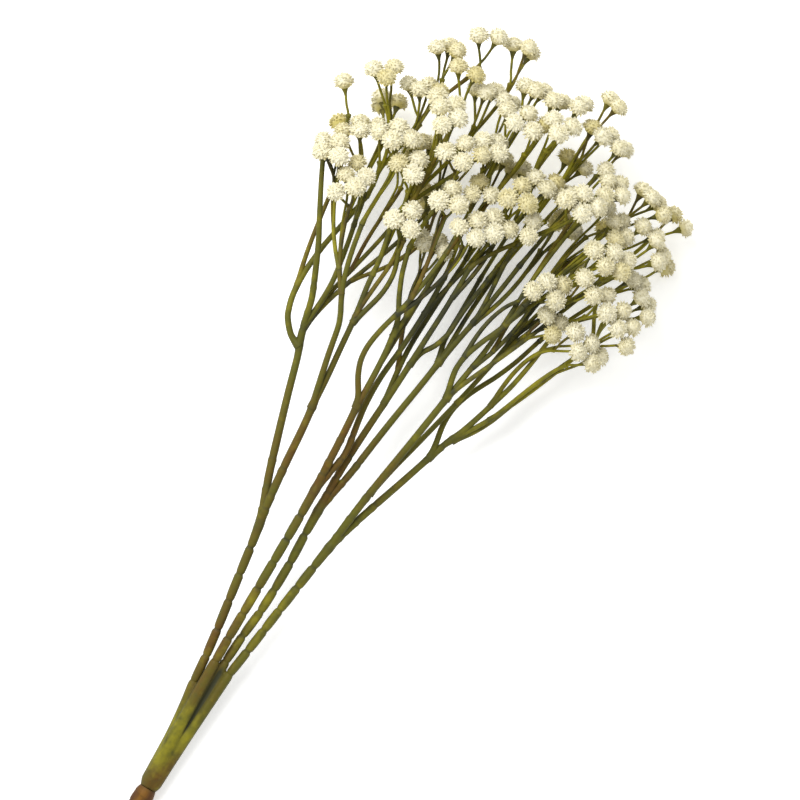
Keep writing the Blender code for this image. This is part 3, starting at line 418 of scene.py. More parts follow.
# How many degrees the petals lean off the way out at the head's top, how many less at its skirt, and how
# uneven, in radians, they are
PETAL_LEAN = 12
PETAL_LEAN_LOSS = 24
PETAL_POLAR_UNEVEN = 0.09
PETAL_BEARING_UNEVEN = 0.2
PETAL_LEAN_UNEVEN = 0.14
PETAL_TWIST = 0.5

# Heads of a bunch stand this share further apart than their solids, and up to this much higher or lower
HEADS_APART = 0.10
HEAD_UNEVEN = 0.9
# Across and along their axis heads differ this much in size, and towards their cup they turn tan, partly
# their own colour and partly painted shade
HEAD_WIDE = (0.94, 1.08)
HEAD_DEEP = (0.84, 1.0)
SKIRT_TAN = 1.2
# Each head is up to this much tan, some are more so, and those low in the cloud are tanner still as painted
# shade
HEAD_TAN = 0.18
AGED_SHARE = 0.16
AGED_TAN = (0.2, 0.55)
LOW_HEADS_BELOW = 14.0
LOW_HEAD_SHADE = 0.2

DEEP_BROWN = (0.09, 0.04, 0.015, 1.0)
# How much painted shade the stems get on their lower sides, and the share of it on twigs and stalks
UNDER_SHADE = 1.0
TWIG_SHADE = 0.2
# How dark the stalks and cups are, and how much painted shade the cups get
STALK_TIP = 0.25
CUP_SHADE = 0.5
# How much browner, darker and yellower than its surroundings a twig is at least, and may be beyond that. The
# least is lighter and yellower, as painted light on twigs and stalks shaded inside the bunch
TWIG_TONES = ((0.0, 1.1), (-0.25, 0.9), (0.1, 1.2))

# The middle of the view, from the cut, the way to the key light, and the table, in metres
VIEW_MIDDLE = (233.6, -6.1, 20.0)
KEY_WAY = (0.25, 0.52, 0.82)
KEY_DISTANCE = 1.4
KEY_SIZE = 0.9
TABLE_SIZE = 12
TABLE_BELOW = 0.0002


def tint(name, description, *colour):
    """A colour that can be changed."""
    return FloatVectorProperty(
        name=name, description=description, subtype="COLOR", size=4, min=0, max=1, default=(*colour, 1.0))


def measure(name, description, size):
    """A length in millimetres that can be changed."""
    return FloatProperty(name=name, description=description, default=size * MM, unit="LENGTH")


class StemSettings(bpy.types.PropertyGroup):
    """Colours of the stems"""

    olive: tint("Olive", "Main green of the stems", 0.112, 0.107, 0.013)
    # Yellow green is partly painted light on the stems shaded inside the bunch
    yellow: tint("Yellow green", "Lighter patches of the stems", 0.25, 0.225, 0.014)
    brown: tint("Brown", "Brown patches of the stems", 0.120, 0.065, 0.012)
    # Dark green is also the colour of the painted shade on the stems, and the stems inside the bunch are
    # partly painted shade in it
    dark: tint("Dark green", "Dark stems inside the bunch", 0.042, 0.043, 0.020)
    bark: tint("Wrapped end", "Brown of the wrapped end", 0.20, 0.092, 0.014)


class HeadSettings(bpy.types.PropertyGroup):
    """Petals of the flower heads"""

    petals: IntProperty(name="Petals", description="Petals of one head", default=116, min=20, max=120)
    petal_width: measure("Petal width", "Widest part of a petal", 1.08)
    petal_thickness: measure("Petal thickness", "Thickness of a petal", 0.24)
    cream: tint("Cream", "Tips of the petals", 0.775, 0.735, 0.555)
    root: tint("Root", "Roots of the petals", 0.68, 0.615, 0.32)
    # Tan is also painted shade towards the cups and on heads low in the cloud
    tan: tint("Tan", "Petals of the aged heads", 0.55, 0.47, 0.15)


class StageSettings(bpy.types.PropertyGroup):
    """Table, light and camera"""

    table: tint("Table", "Colour of the table", 0.93, 0.93, 0.92)
    table_glow: FloatProperty(
        name="Table glow", description="How much the table lightens the shadows on it", default=0.38)
    view_width: measure("View width", "Width that the camera sees", 360)
    lens: FloatProperty(name="Lens", description="Focal length of the camera in mm", default=450.0)
    turn: FloatProperty(
        name="Turn", description="How far the stem is turned in the view", default=math.radians(59.0),
        subtype="ANGLE")
    key_power: FloatProperty(
        name="Key light", description="Power of the key light", default=17.0, unit="POWER")
    sky: FloatProperty(name="Sky", description="Strength of the light from all round", default=0.72)


def unit(vector):
    return vector / np.linalg.norm(vector)


def smooth(points, step):
    """Points about a step apart on a smooth curve through the given ones."""
    line = np.array(points, float)
    ends = np.vstack((2 * line[0] - line[1], line, 2 * line[-1] - line[-2]))
    out = []
    for before, start, end, after in zip(ends, ends[1:], ends[2:], ends[3:]):
        spans = max(1, round(float(np.linalg.norm(end - start)) / step))
        for k in range(spans):
            t = k / spans
            bend = 2 * before - 5 * start + 4 * end - after
            twist = 3 * start - before - 3 * end + after
            out.append(start + 0.5 * ((end - before) * t + bend * t**2 + twist * t**3))
    out.append(line[-1])
    return np.array(out)


def rods(line, radii):
    """A tube as straight round-ended rods: their ends and radii."""
    return line[:-1], line[1:], np.maximum(radii[:-1], radii[1:])


def rod_gaps(first, second):
    """The distance between the surfaces of each first and each second rod, as a table."""
    start_1, end_1, radius_1 = first
    start_2, end_2, radius_2 = second
    run_1 = (end_1 - start_1)[:, None, :]
    run_2 = (end_2 - start_2)[None, :, :]
    apart = start_1[:, None, :] - start_2[None, :, :]
    long_1 = np.maximum((run_1 * run_1).sum(-1), POINT_LIKE)
    long_2 = np.maximum((run_2 * run_2).sum(-1), POINT_LIKE)
    both = (run_1 * run_2).sum(-1)
    on_1 = (run_1 * apart).sum(-1)
    on_2 = (run_2 * apart).sum(-1)
    across = long_1 * long_2 - both * both
    s = np.clip((both * on_2 - on_1 * long_2) / np.maximum(across, PARALLEL), 0, 1)
    s = np.where(across > PARALLEL, s, 0)
    t = np.clip((both * s + on_2) / long_2, 0, 1)
    s = np.clip((both * t - on_1) / long_1, 0, 1)
    between = apart + run_1 * s[..., None] - run_2 * t[..., None]
    return np.sqrt((between * between).sum(-1)) - radius_1[:, None] - radius_2[None, :]


class Room:
    """Everything grown so far, as rods with the name of what they belong to."""

    def __init__(self):
        self.starts = np.zeros((0, 3))
        self.ends = np.zeros((0, 3))
        self.radii = np.zeros(0)
        self.owners = np.zeros(0, "U4")

    def add(self, rods_of_it, owner):
        starts, ends, radii = rods_of_it
        self.starts = np.vstack((self.starts, starts))
        self.ends = np.vstack((self.ends, ends))
        self.radii = np.concatenate((self.radii, radii))
        self.owners = np.concatenate((self.owners, np.full(len(radii), owner, "U4")))

    def is_free(self, rods_of_it, apart_from="", against=None):
        """Whether rods keep the gap to all that is here, to one owner's alone, or to all but one owner's."""
        starts, ends, radii = rods_of_it
        reach = radii.max() + HEAD_REACH + GAP
        low = np.minimum(starts, ends).min(0) - reach
        high = np.maximum(starts, ends).max(0) + reach
        near = (np.minimum(self.starts, self.ends) <= high).all(1)
        near &= (np.maximum(self.starts, self.ends) >= low).all(1)
        near &= self.owners == against if against else self.owners != apart_from
        if not near.any():
            return True
        here = self.starts[near], self.ends[near], self.radii[near]
        return rod_gaps(rods_of_it, here).min() >= GAP


def corners(line):
    """The fewest of a line's points that keep it straight within the tolerance between them, as indices."""
    run = line[-1] - line[0]
    along = np.clip((line - line[0]) @ run / (run @ run), 0, 1)
    off = np.linalg.norm(line - line[0] - along[:, None] * run, axis=1)
    worst = int(off.argmax())
    if off[worst] < STRAIGHT_WITHIN:
        return [0, len(line) - 1]
    return corners(line[: worst + 1])[:-1] + [worst + k for k in corners(line[worst:])]


class Tube:
    """One stem, branch or twig of a spray, with the stalks at a twig's knuckle."""

    def __init__(self, kind, spray, line, radii):
        self.kind = kind
        self.spray = spray
        self.line = line
        self.radii = radii
        self.last_used = 0
        self.stalks = []

    def faceted(self):
        """The places and radii that its mesh needs."""
        kept = list(range(len(self.line))) if self.kind == "stem" else corners(self.line)
        if self.kind == "twig":
            kept.insert(-1, len(self.line) - 2)
        return self.line[sorted(set(kept))], self.radii[sorted(set(kept))]


class Hosts:
    """The places that a twig can leave from, with the way that each leads."""

    def __init__(self):
        self.spots = []
        self.places = np.zeros((0, 3))
        self.leads = np.zeros((0, 3))

    def add(self, tube, indices):
        for k in indices:
            ahead = min(k + 1, len(tube.line) - 1)
            self.spots.append((tube, k))
            self.places = np.vstack((self.places, tube.line[k]))
            self.leads = np.vstack((self.leads, unit(tube.line[ahead] - tube.line[k - 1])))

    def only(self, spray):
        some = Hosts()
        kept = [k for k, spot in enumerate(self.spots) if spot[0].spray == spray]
        some.spots = [self.spots[k] for k in kept]
        some.places = self.places[kept]
        some.leads = self.leads[kept]
        return some

    def ranked(self, knuckle, facing):
        """Those that suit a knuckle, first those of the best length that leave and arrive gently."""
        reach = knuckle - self.places
        length = np.linalg.norm(reach, axis=1)
        way = reach / length[:, None]
        leave = np.degrees(np.arccos(np.clip((way * self.leads).sum(1), -1, 1)))
        arrive = np.degrees(np.arccos(np.clip(way @ facing, -1, 1)))
        cost = leave / LEAVING_SCALE + arrive / ARRIVING_SCALE
        cost += abs(length - TWIG_BEST_LENGTH) / LENGTH_SCALE
        for k, (tube, index) in enumerate(self.spots):
            if tube.kind == "branch" and tube.last_used < index == len(tube.line) - 1:
                cost[k] -= UNUSED_TIP_FAVOUR
        suits = (length > TWIG_SHORTEST) & (length < TWIG_LONGEST)
        suits &= (leave < MOST_LEAVING) & (arrive < MOST_ARRIVING)
        return [k for k in np.argsort(cost, kind="stable") if suits[k]]


class Bunch:
    """One bunch of heads: where each is, which way it looks, and the twigs that carry them."""

    def __init__(self, heads, ways, twigs):
        self.heads = heads
        self.ways = ways
        self.twigs = twigs

    def loosen(self, rng):
        """Sets the heads a little apart and at uneven heights, with the stalks that they stand on."""
        middle = self.heads.mean(0)
        for twig in self.twigs:
            moved = []
            for number, way, cup, rim in twig.stalks:
                shift = (self.heads[number] - middle) * HEADS_APART
                shift += way * rng.uniform(-HEAD_UNEVEN, HEAD_UNEVEN)
                if self.heads[number][2] + shift[2] < LOWEST_HEAD:
                    shift = np.zeros(3)
                moved.append((number, way, cup + shift, rim + shift))
                self.heads[number] = self.heads[number] + shift
            twig.stalks = moved


def jointed(points, rng):
    """A stem's places and radii: joint after joint, each with a narrow neck."""
    line = smooth(points, STEM_STEP)
    travelled = np.concatenate(([0], np.cumsum(np.linalg.norm(np.diff(line, axis=0), axis=1))))
    places = []
    radii = []
    at = 0.0
    while travelled[-1] - at > JOINT_SHORT:
        length = rng.uniform(JOINT_SHORT, JOINT_LONG)
        places += [at, at + JOINT_LIP, at + length - JOINT_LIP]
        radii += [STEM_NECK, STEM_BODY, STEM_BODY - STEM_TAPER]
        at += length
    places.append(travelled[-1])
    radii.append(STEM_NECK)
    line = np.stack([np.interp(places, travelled, line[:, k]) for k in range(3)], axis=1)
    return line, np.array(radii)


def bunch_height(across, level):
    rise = math.sqrt(1 - (across / BUNCH_HALF_WIDTH) ** 2)
    top = BUNCH_TOP_AT_SIDES + (BUNCH_TOP - BUNCH_TOP_AT_SIDES) * rise
    low = BUNCH_BOTTOM + BUNCH_BOTTOM_RISE * abs(across)
    return {RESTING: RESTING_HEIGHT, LOW: low, MIDDLE: (top + BUNCH_MIDDLE) / 2, TOP: top}[level]


def bunch_facing(place):
    out = place - np.array(FAN_POINT)
    return unit(out * (1, 1, FAN_LIFT))


def place_heads(place, facing, angle, wander):
    """Heads in a zigzag strip across the facing, on a shallow dome."""
    count = len(wander)
    way = np.array((math.cos(math.radians(angle)), math.sin(math.radians(angle)), 0))
    along = unit(way - facing * way.dot(facing))
    across = np.cross(facing, along)
    heads = []
    for k, deep in enumerate(wander):
        a = (k - (count - 1) / 2) * HEAD_PITCH / 2
        b = (-1) ** k * HEAD_PITCH * math.sqrt(3) / 4 if count > 1 else 0
        dome = (a * a + b * b) / BUNCH_CURVE
        heads.append(place + along * a + across * b + facing * (deep - dome))
    return np.array(heads)


def as_rods(points, radius):
    return points, points, np.full(len(points), radius)


def twig_line(host, lead, knuckle, facing, bow):
    """A smooth run from a host to the knuckle, leaving along the one and arriving along the other."""
    length = np.linalg.norm(knuckle - host)
    lead = unit(lead + TWIG_LEAN * unit(knuckle - host))
    side = np.cross(lead, (0, 0, 1))
    push = bow[0] * side + bow[1] * np.cross(side, lead)
    pull = TWIG_PULL * length
    before_knuckle = 1 - KNUCKLE_LENGTH / length
    spans = max(3, round(length / TWIG_STEP))
    steps = np.append(np.linspace(0, before_knuckle, spans + 1), 1)[:, None]
    line = (2 * steps**3 - 3 * steps**2 + 1) * host + (3 * steps**2 - 2 * steps**3) * knuckle
    line += (steps**3 - 2 * steps**2 + steps) * lead * pull + (steps**3 - steps**2) * facing * pull
    return line + push * np.sin(math.pi * steps)


def find_twig(room, hosts, knuckle, facing, heads):
    """The best free twig to a knuckle."""
    ranked = hosts.ranked(knuckle, facing)
    for alone, tried in ((True, TWIGS_TRIED_APART), (False, TWIGS_TRIED)):
        for k in ranked[:tried]:
            tube, index = hosts.spots[k]
            for bow in TWIG_BOWS:
                line = twig_line(hosts.places[k], hosts.leads[k], knuckle, facing, bow)
                radii = np.linspace(min(TWIG_ROOT, TWIG_ROOT_SHARE * tube.radii[index]), TWIG_TIP, len(line))
                radii[-1] = KNUCKLE_RADIUS
                run = rods(np.vstack((line[:-1:3], line[-1:])), np.append(radii[:-1:3], KNUCKLE_RADIUS))
                if line[:, 2].min() < LOWEST_TWIG or rod_gaps(run, as_rods(heads, HEAD_REACH)).min() < GAP:
                    continue
                if not room.is_free(run, tube.spray):
                    continue
                away = np.linalg.norm(run[1] - hosts.places[k], axis=1) > TWIG_CLEAR_FROM
                if alone and away.any() and not room.is_free([part[away] for part in run]):
                    continue
                return Tube("twig", tube.spray, line, radii), tube, index
    return None


def plan_stalks(room, heads, group, knuckle, spray=None):
    """A straight stalk with its cup for each head of the group, or nothing where one has no room. Without a
    spray, only other heads are in its way."""
    stalks = []
    for number in group:
        way = unit(heads[number] - knuckle)
        rim = heads[number] - way * (HEAD_SEAT + GAP)
        cup = rim - way * CUP_LENGTH
        run = np.array((knuckle, cup)), np.array((cup, rim)), np.array((STALK_RADIUS, CUP_RADIUS))
        others = np.delete(heads, number, axis=0)
        if len(others) and rod_gaps(run, as_rods(others, HEAD_REACH)).min() < GAP:
            return None
        if not room.is_free(run, spray, None if spray else "head"):
            return None
        stalks.append((number, way, cup, rim))
    return stalks


def plan_bunch(room, hosts, heads, facing, length):
    """Knuckles, twigs and stalks that carry these heads, or nothing."""
    count = len(heads)
    parts = 1 if count <= MOST_STALKS_TOGETHER else 2
    half = (count + parts - 1) // parts
    groups = [range(first, min(first + half, count)) for first in range(0, count, half)]
    plan = []
    for group in groups:
        knuckle = heads[list(group)].mean(0) - facing * length
        if knuckle[2] < LOWEST_KNUCKLE or plan_stalks(room, heads, group, knuckle) is None:
            return None
        choice = hosts
        if plan:
            first_twig = plan[0][0]
            choice = hosts.only(first_twig.spray)
            choice.add(first_twig, range(1, len(first_twig.line) - 2))
        found = find_twig(room, choice, knuckle, facing, heads)
        if found is None:
            return None
        twig, parent, index = found
        twig.stalks = plan_stalks(room, heads, group, knuckle, twig.spray)
        if twig.stalks is None:
            return None
        plan.append(found)
    return plan


def grow_bunch(room, tubes, hosts, row, rng):
    """Adds one bunch with its twigs and stalks, at the nearest place that has room for all of it."""
    x, y, level, count, angle = row
    wander = [rng.uniform(-HEAD_WANDER, HEAD_WANDER) for _ in range(count)]
    angle += rng.uniform(-BUNCH_TURN, BUNCH_TURN)
    wanted = np.array((x, y, bunch_height(y, level)), float)
    shifts = [(i, j, k) for k in SHIFTS_UPRIGHT for i in SHIFTS_LEVEL for j in SHIFTS_LEVEL]
    if level == RESTING:
        shifts = [shift for shift in shifts if shift[2] == 0]
    shifts.sort(key=lambda shift: LEVEL_SHIFTS_COUNT * (shift[0] ** 2 + shift[1] ** 2) + shift[2] ** 2)
    tried = 0
    for shift in shifts:
        place = wanted + shift
        facing = bunch_facing(place)
        heads = place_heads(place, facing, angle, wander)
        if level != RESTING and heads[:, 2].min() < LOWEST_HEAD:
            continue
        if not room.is_free(as_rods(heads, HEAD_REACH)):
            continue
        tried += 1
        if tried > SHIFTS_TRIED:
            break
        for length in STALK_LENGTHS:
            plan = plan_bunch(room, hosts, heads, facing, length)
            if plan is None:
                continue
            room.add(as_rods(heads, HEAD_REACH), "head")
            ways = {}
            for twig, parent, index in plan:
                parent.last_used = max(parent.last_used, index)
                tubes.append(twig)
                room.add(rods(*twig.faceted()), twig.spray)
                hosts.add(twig, range(2, len(twig.line) - 2))
                for number, way, cup, rim in twig.stalks:
                    line = np.array((twig.line[-1], cup, rim))
                    room.add(rods(line, np.array((STALK_RADIUS, STALK_RADIUS, CUP_RADIUS))), twig.spray)
                    ways[number] = way
            return Bunch(heads, [ways[k] for k in range(count)], [twig for twig, parent, index in plan])
    raise RuntimeError(f"no room for the bunch at {x}, {y}")


def turn_of(k):
    """The resting heads grow first, then the large bunches, and of equal ones the furthest."""
    along, across, level, count, angle = BUNCHES[k]
    return level != RESTING, -count, -along


def grow():
    """The whole plant: its tubes and its bunches."""
    rng = random.Random(SEED)
    room = Room()
    tubes = []
    hosts = Hosts()
    for spray, points in STEMS.items():
        tubes.append(Tube("stem", spray, *jointed(points, rng)))
    for spray, root, tip, points in BRANCHES:
        line = smooth(points, BRANCH_STEP)
        tube = Tube("branch", spray, line, np.linspace(root, tip, len(line)))
        tubes.append(tube)
        hosts.add(tube, [k for k in range(1, len(line)) if line[k][0] > TWIGS_FROM])
    for tube in tubes:
        room.add(rods(*tube.faceted()), tube.spray)
    bunches = [None] * len(BUNCHES)
    for k in sorted(range(len(BUNCHES)), key=turn_of):
        bunches[k] = grow_bunch(room, tubes, hosts, BUNCHES[k], rng)
    return tubes, bunches


def trim_branches(tubes):
    """Ends each branch at the last twig that leaves it, or at the fork that it carries."""
    for tube in tubes:
        if tube.kind != "branch":
            continue
        last = tube.last_used
        for other in tubes:
            if other is tube or other.spray != tube.spray or other.kind != "branch":
                continue
            away = np.linalg.norm(tube.line - other.line[0], axis=1)
            if away.min() < FORK_WITHIN:
                last = max(last, min(int(away.argmin()) + 1, len(tube.line) - 1))
        tube.line = tube.line[: max(last, 1) + 1]
        tube.radii = tube.radii[: max(last, 1) + 1]


@functools.cache
def plant():
    """The tubes and bunches as they are modelled."""
    tubes, bunches = grow()
    trim_branches(tubes)
    rng = random.Random(SEED)
    for bunch in bunches:
        bunch.loosen(rng)
    return tubes, bunches


def to_frame(points):
    """Places in metres on the frame, for places in millimetres from the cut."""
    return (np.asarray(points, float) + FRAME_SHIFT) * MM


def distances(line):
    """How far along a line each of its points is."""
    return np.concatenate(([0.0], np.cumsum(np.linalg.norm(np.diff(line, axis=0), axis=1))))


def bell(off, width):
    """1 in the middle, fading to 0 at about twice the width off it."""
    return np.exp(-((off / width) ** 2))


def rings(radii, sides):
    """The radius at each of the points of round rings."""
    return np.repeat(radii[:, None], sides, axis=1)


def joint_radii(tube, at, coarse, rng):
    """Radii of a jointed stem's rings, point by point, and how deep in a joint each ring is."""
    joints = coarse[::3]
    place = np.searchsorted(joints, at, side="right").clip(1, len(joints) - 1)
    share = (at - joints[place - 1]) / (joints[place] - joints[place - 1])
    radii = STEM_BODY * np.interp(share, *zip(*JOINT_PROFILE))
    radii *= 1 - BEADING[tube.spray] * (2 * share - 1) ** 2
    nearest = np.where(share < 0.5, place - 1, place)
    notches = np.array([rng.uniform(0, 2 * math.pi) for _ in joints])[nearest]
    depth = np.array([rng.uniform(*NOTCH_DEPTHS) for _ in joints])[nearest]
    seam_and_shade = depth * bell(np.minimum(share, 1 - share), JOINT_SEAM)
    bearing = 2 * math.pi * np.arange(FINE_SIDES["stem"]) / FINE_SIDES["stem"]
    notch = (0.5 + 0.5 * np.cos(bearing - notches[:, None])) ** 2
    return radii[:, None] * (1 - NECK_NOTCH * seam_and_shade[:, None] * notch), seam_and_shade


def grown_radii(tube, at, coarse, rng):
    """Radii of a branch's or twig's rings, with a thick one's collars, and how dark each is: painted shade at
    its root, and a dark neck after each collar.
    """
    thick = tube.radii[0] > COLLARS_FROM_RADIUS
    root = bell(at, ROOT_FLARE_LENGTH)
    radii = np.interp(at, coarse, tube.radii) * (1 + (BRANCH_ROOT_FLARE if thick else ROOT_FLARE) * root)
    radii *= 1 + FULLNESS[tube.kind]
    # Painted shade at the root, where the tube leaves its parent
    seam_and_shade = ROOT_SHADE * root
    for place in COLLAR_PLACES if thick else ():
        from_collar = at - place - rng.uniform(-COLLAR_WANDER, COLLAR_WANDER)
        from_neck = from_collar - COLLAR_NECK_AFTER
        radii *= 1 + COLLAR_RISE * bell(from_collar, COLLAR_WIDTH)
        radii *= 1 - COLLAR_RISE * bell(from_neck, COLLAR_NECK_WIDTH)
        seam_and_shade = np.maximum(seam_and_shade, COLLAR_SEAM * bell(from_neck, COLLAR_SEAM_WIDTH))
    return rings(radii, FINE_SIDES[tube.kind]), seam_and_shade


def fine_tube(tube, starts, rng):
    """A tube's smooth line, its ring radii, swollen at its forks, and how dark each ring is: in its joints,
    and with painted shade at its forks and root.
    """
    line = tube.line.copy()
    if tube.kind == "stem":
        line[0] -= unit(line[1] - line[0]) * GAP
    coarse = distances(line)
    line = smooth(line, FINE_STEPS[tube.kind])
    at = distances(line)
    coarse *= at[-1] / coarse[-1]
    shape = joint_radii if tube.kind == "stem" else grown_radii
    radii, seam_and_shade = shape(tube, at, coarse, rng)
    for start in starts:
        away = np.linalg.norm(line - start, axis=1)
        near = int(away.argmin())
        if away[near] < FORK_WITHIN / 2:
            swell = bell(at - at[near], FORK_SWELL_LENGTH)
            radii *= 1 + FORK_SWELL * swell[:, None]
            # Painted shade in the crotch where another tube leaves this one
            seam_and_shade = np.maximum(seam_and_shade, FORK_SHADE * swell)
    return line, radii, seam_and_shade


def knuckle_end(line, radii, seam_and_shade):
    """The same twig with a rounded end."""
    out = unit(line[-1] - line[-2])
    ends = [line[-1] + out * up for up, size in KNUCKLE_ENDS]
    sizes = [np.full(len(radii[0]), size) for up, size in KNUCKLE_ENDS]
    return np.vstack((line, ends)), np.vstack((radii, sizes)), np.append(seam_and_shade, [seam_and_shade[-1]] * len(ends))


def stalk_beside(twig, cup, apart, rng):
    """A stalk's line and ring radii: it leaves its twig below the knuckle, then runs beside it to its cup."""
    at = distances(twig)
    below = min(rng.uniform(*BESIDE_LENGTHS), BESIDE_SHARE * at[-1])
    run = unit(twig[-1] - twig[-2])
    aside = cup - twig[-1]
    uneven = np.array([rng.uniform(-BESIDE_UNEVEN, BESIDE_UNEVEN) for _ in range(3)])
    aside = unit(aside - run * aside.dot(run) + uneven)
    line = []
    for share in BESIDE_PLACES:
        place = [np.interp(at[-1] - below * (1 - share), at, twig[:, axis]) for axis in range(3)]
        line.append(np.array(place) + aside * apart * share)
    push = np.array([rng.uniform(-STALK_BOW, STALK_BOW) for _ in range(3)])
    line += [(line[-1] + cup) / 2 + push, cup]
    line = smooth(line, STALK_STEP)
    return line, rings(np.linspace(*STALK_SIZES, len(line)), STALK_SIDES)


def turned(points, turn):
    """Points turned about the origin."""
    return points @ np.array(turn.to_matrix()).T


class Shell:
    """A mesh in the making: points in millimetres from the cut, faces, and what each point's layers hold."""

    def __init__(self):
        self.points = []
        self.faces = []
        self.layers = {"seam_and_shade": [], "tip": [], "painted_shade": []}
        self.tone = (0.0, 0.0, 0.0)
        self.tones = []

    def add(self, points, faces, **layers):
        """Adds points, their faces, and for each layer one value or a list of them."""
        first = len(self.points)
        self.points += list(points)
        self.faces += [tuple(first + n for n in face) for face in faces]
        self.tones += [self.tone] * len(points)
        for layer, values in layers.items():
            self.layers[layer] += list(np.broadcast_to(values, len(points)))

    def sweep(self, line, radii, seam_and_shade, tip=0.0, shade=1.0):
        """A closed round tube along a line, with this share of painted shade on its lower side."""
        side = np.array(UP)
        count = len(radii[0])
        angles = 2 * math.pi * np.arange(count)[:, None] / count
        points = []
        painted_shade = []
        for k, place in enumerate(line):
            run = unit(line[min(k + 1, len(line) - 1)] - line[max(k - 1, 0)])
            side = unit(side - run * side.dot(run))
            out = side * np.cos(angles) + np.cross(run, side) * np.sin(angles)
            points += list(place + radii[k][:, None] * out)
            # Painted shade, stronger where the surface faces further down
            painted_shade += list(shade * (1 - out[:, 2]))
        faces = [tuple(range(count))[::-1]]
        for lower in range(0, len(points) - count, count):
            for n in range(count):
                m = (n + 1) % count
                faces.append((lower + n, lower + m, lower + count + m, lower + count + n))
        faces.append(tuple(range(len(points) - count, len(points))))
        self.add(points, faces, seam_and_shade=np.repeat(seam_and_shade, count), tip=tip, painted_shade=painted_shade)

    def add_cup(self, cup, foot, way, spin):
        """A copy of the cup under a head, on its foot and looking along the way."""
        points, faces = cup
        turn = Quaternion(way, spin) @ UP.rotation_difference(Vector(way))
        # Each cup gets a fixed share of painted shade
        self.add(turned(points, turn) + foot, faces, seam_and_shade=0.0, tip=1.0, painted_shade=CUP_SHADE)

    def finished(self, name):
        """The object on the frame."""
        for (layer, values), own in zip(patches(np.array(self.points)).items(), np.transpose(self.tones)):
            self.layers[layer] = values + own
        return new_piece(name, self.points, self.faces, self.layers, STEM_SHARP_FROM)


def new_piece(name, points, faces, layers, sharp_from):
    """A smooth object on the frame, with nothing below the table and its edges sharp from an angle on."""
    places = to_frame(points)
    places[:, 2] = places[:, 2].clip(0.0)
    mesh = bpy.data.meshes.new(name)
    mesh.from_pydata(places.tolist(), [], faces)
    for layer, values in layers.items():
        set_layer(mesh, layer, values)
    mesh.shade_smooth()
    mesh.set_sharp_from_angle(angle=math.radians(sharp_from))
    piece = bpy.data.objects.new(name, mesh)
    bpy.context.scene.collection.objects.link(piece)
    return piece


def set_layer(mesh, layer, values):
    """Keeps one number at each point of a mesh, for its material."""
    mesh.attributes.new(layer, "FLOAT", "POINT").data.foreach_set("value", np.asarray(values, np.float32))


def patches(points):
    """How brown, dark and yellow a stem is at each of these places."""
    found = {}
    for layer, spots in PATCHES.items():
        total = np.zeros(len(points))
        for along, across, reach, strength in spots:
            off = (points[:, 0] - along) ** 2 / PATCH_STRETCH + (points[:, 1] - across) ** 2
            total += strength * np.exp(-off / (0.5 * reach**2))
        found[layer] = total.clip(0, 1)
    return found


def select_only(*things):
    bpy.ops.object.select_all(action="DESELECT")
    for thing in things:
        thing.select_set(True)
        bpy.context.view_layer.objects.active = thing


def select_where(thing, kind, wanted):
    """Selects in edit mode the points, edges or faces for which wanted is true."""
    bpy.ops.object.mode_set(mode="EDIT")
    bpy.ops.mesh.select_mode(type=kind)
    bpy.ops.mesh.select_all(action="DESELECT")
    bpy.ops.object.mode_set(mode="OBJECT")
    mesh = thing.data
    for element in {"VERT": mesh.vertices, "EDGE": mesh.edges, "FACE": mesh.polygons}[kind]:
        element.select = bool(wanted(element))
    bpy.ops.object.mode_set(mode="EDIT")


def points_of(mesh):
    points = np.empty(3 * len(mesh.vertices))
    mesh.vertices.foreach_get("co", points)
    return points.reshape(-1, 3)


def take_shape(thing):
    """The points in millimetres and the faces of a modelled shape, which is then taken out of the scene."""
    points = points_of(thing.data) / MM
    faces = [tuple(face.vertices) for face in thing.data.polygons]
    bpy.data.objects.remove(thing)
    return points, faces


def extrude_up(sides, stations):
    """A closed body extruded up from a circle, with a height, half widths and a lift at each station."""
    select_only()
    bpy.ops.mesh.primitive_circle_add(vertices=sides, radius=MM, fill_type="NGON")
    thing = bpy.context.object
    bpy.ops.object.mode_set(mode="EDIT")
    bpy.ops.mesh.select_all(action="SELECT")
    height, wide, deep, lift = stations[0]
    bpy.ops.transform.resize(value=(wide, deep, 1), center_override=(0, 0, 0))
    bpy.ops.transform.translate(value=(0, lift * MM, height * MM))
    for (height, wide, deep, lift), (higher, wider, deeper, lifted) in zip(stations, stations[1:]):
        bpy.ops.mesh.extrude_region_move(
            TRANSFORM_OT_translate={"value": (0, (lifted - lift) * MM, (higher - height) * MM)})
        bpy.ops.transform.resize(value=(wider / wide, deeper / deep, 1),
                                 center_override=(0, lifted * MM, higher * MM))
    bpy.ops.mesh.select_all(action="SELECT")
    bpy.ops.mesh.normals_make_consistent(inside=False)
    bpy.ops.object.mode_set(mode="OBJECT")
    return thing


def model_cup():
    """The cup under a head, standing at the origin, with each second point of its rim drawn to a tooth."""
    cup = extrude_up(CUP_SIDES, [(up, radius, radius, 0) for up, radius, out, rise in CUP_PROFILE])
    for up, radius, out, rise in CUP_PROFILE:
        if not rise:
            continue

        def on_tooth(vertex):
            x, y, z = vertex.co / MM
            even = round(math.atan2(y, x) * CUP_SIDES / (2 * math.pi)) % 2 == 0
            return even and abs(z - up) < SAME and abs(math.hypot(x, y) - radius) < SAME

        select_where(cup, "VERT", on_tooth)
        wider = (radius + out) / radius
        bpy.ops.transform.resize(value=(wider, wider, 1), center_override=(0, 0, 0))
        bpy.ops.transform.translate(value=(0, 0, rise * MM))
        bpy.ops.object.mode_set(mode="OBJECT")
    return take_shape(cup)


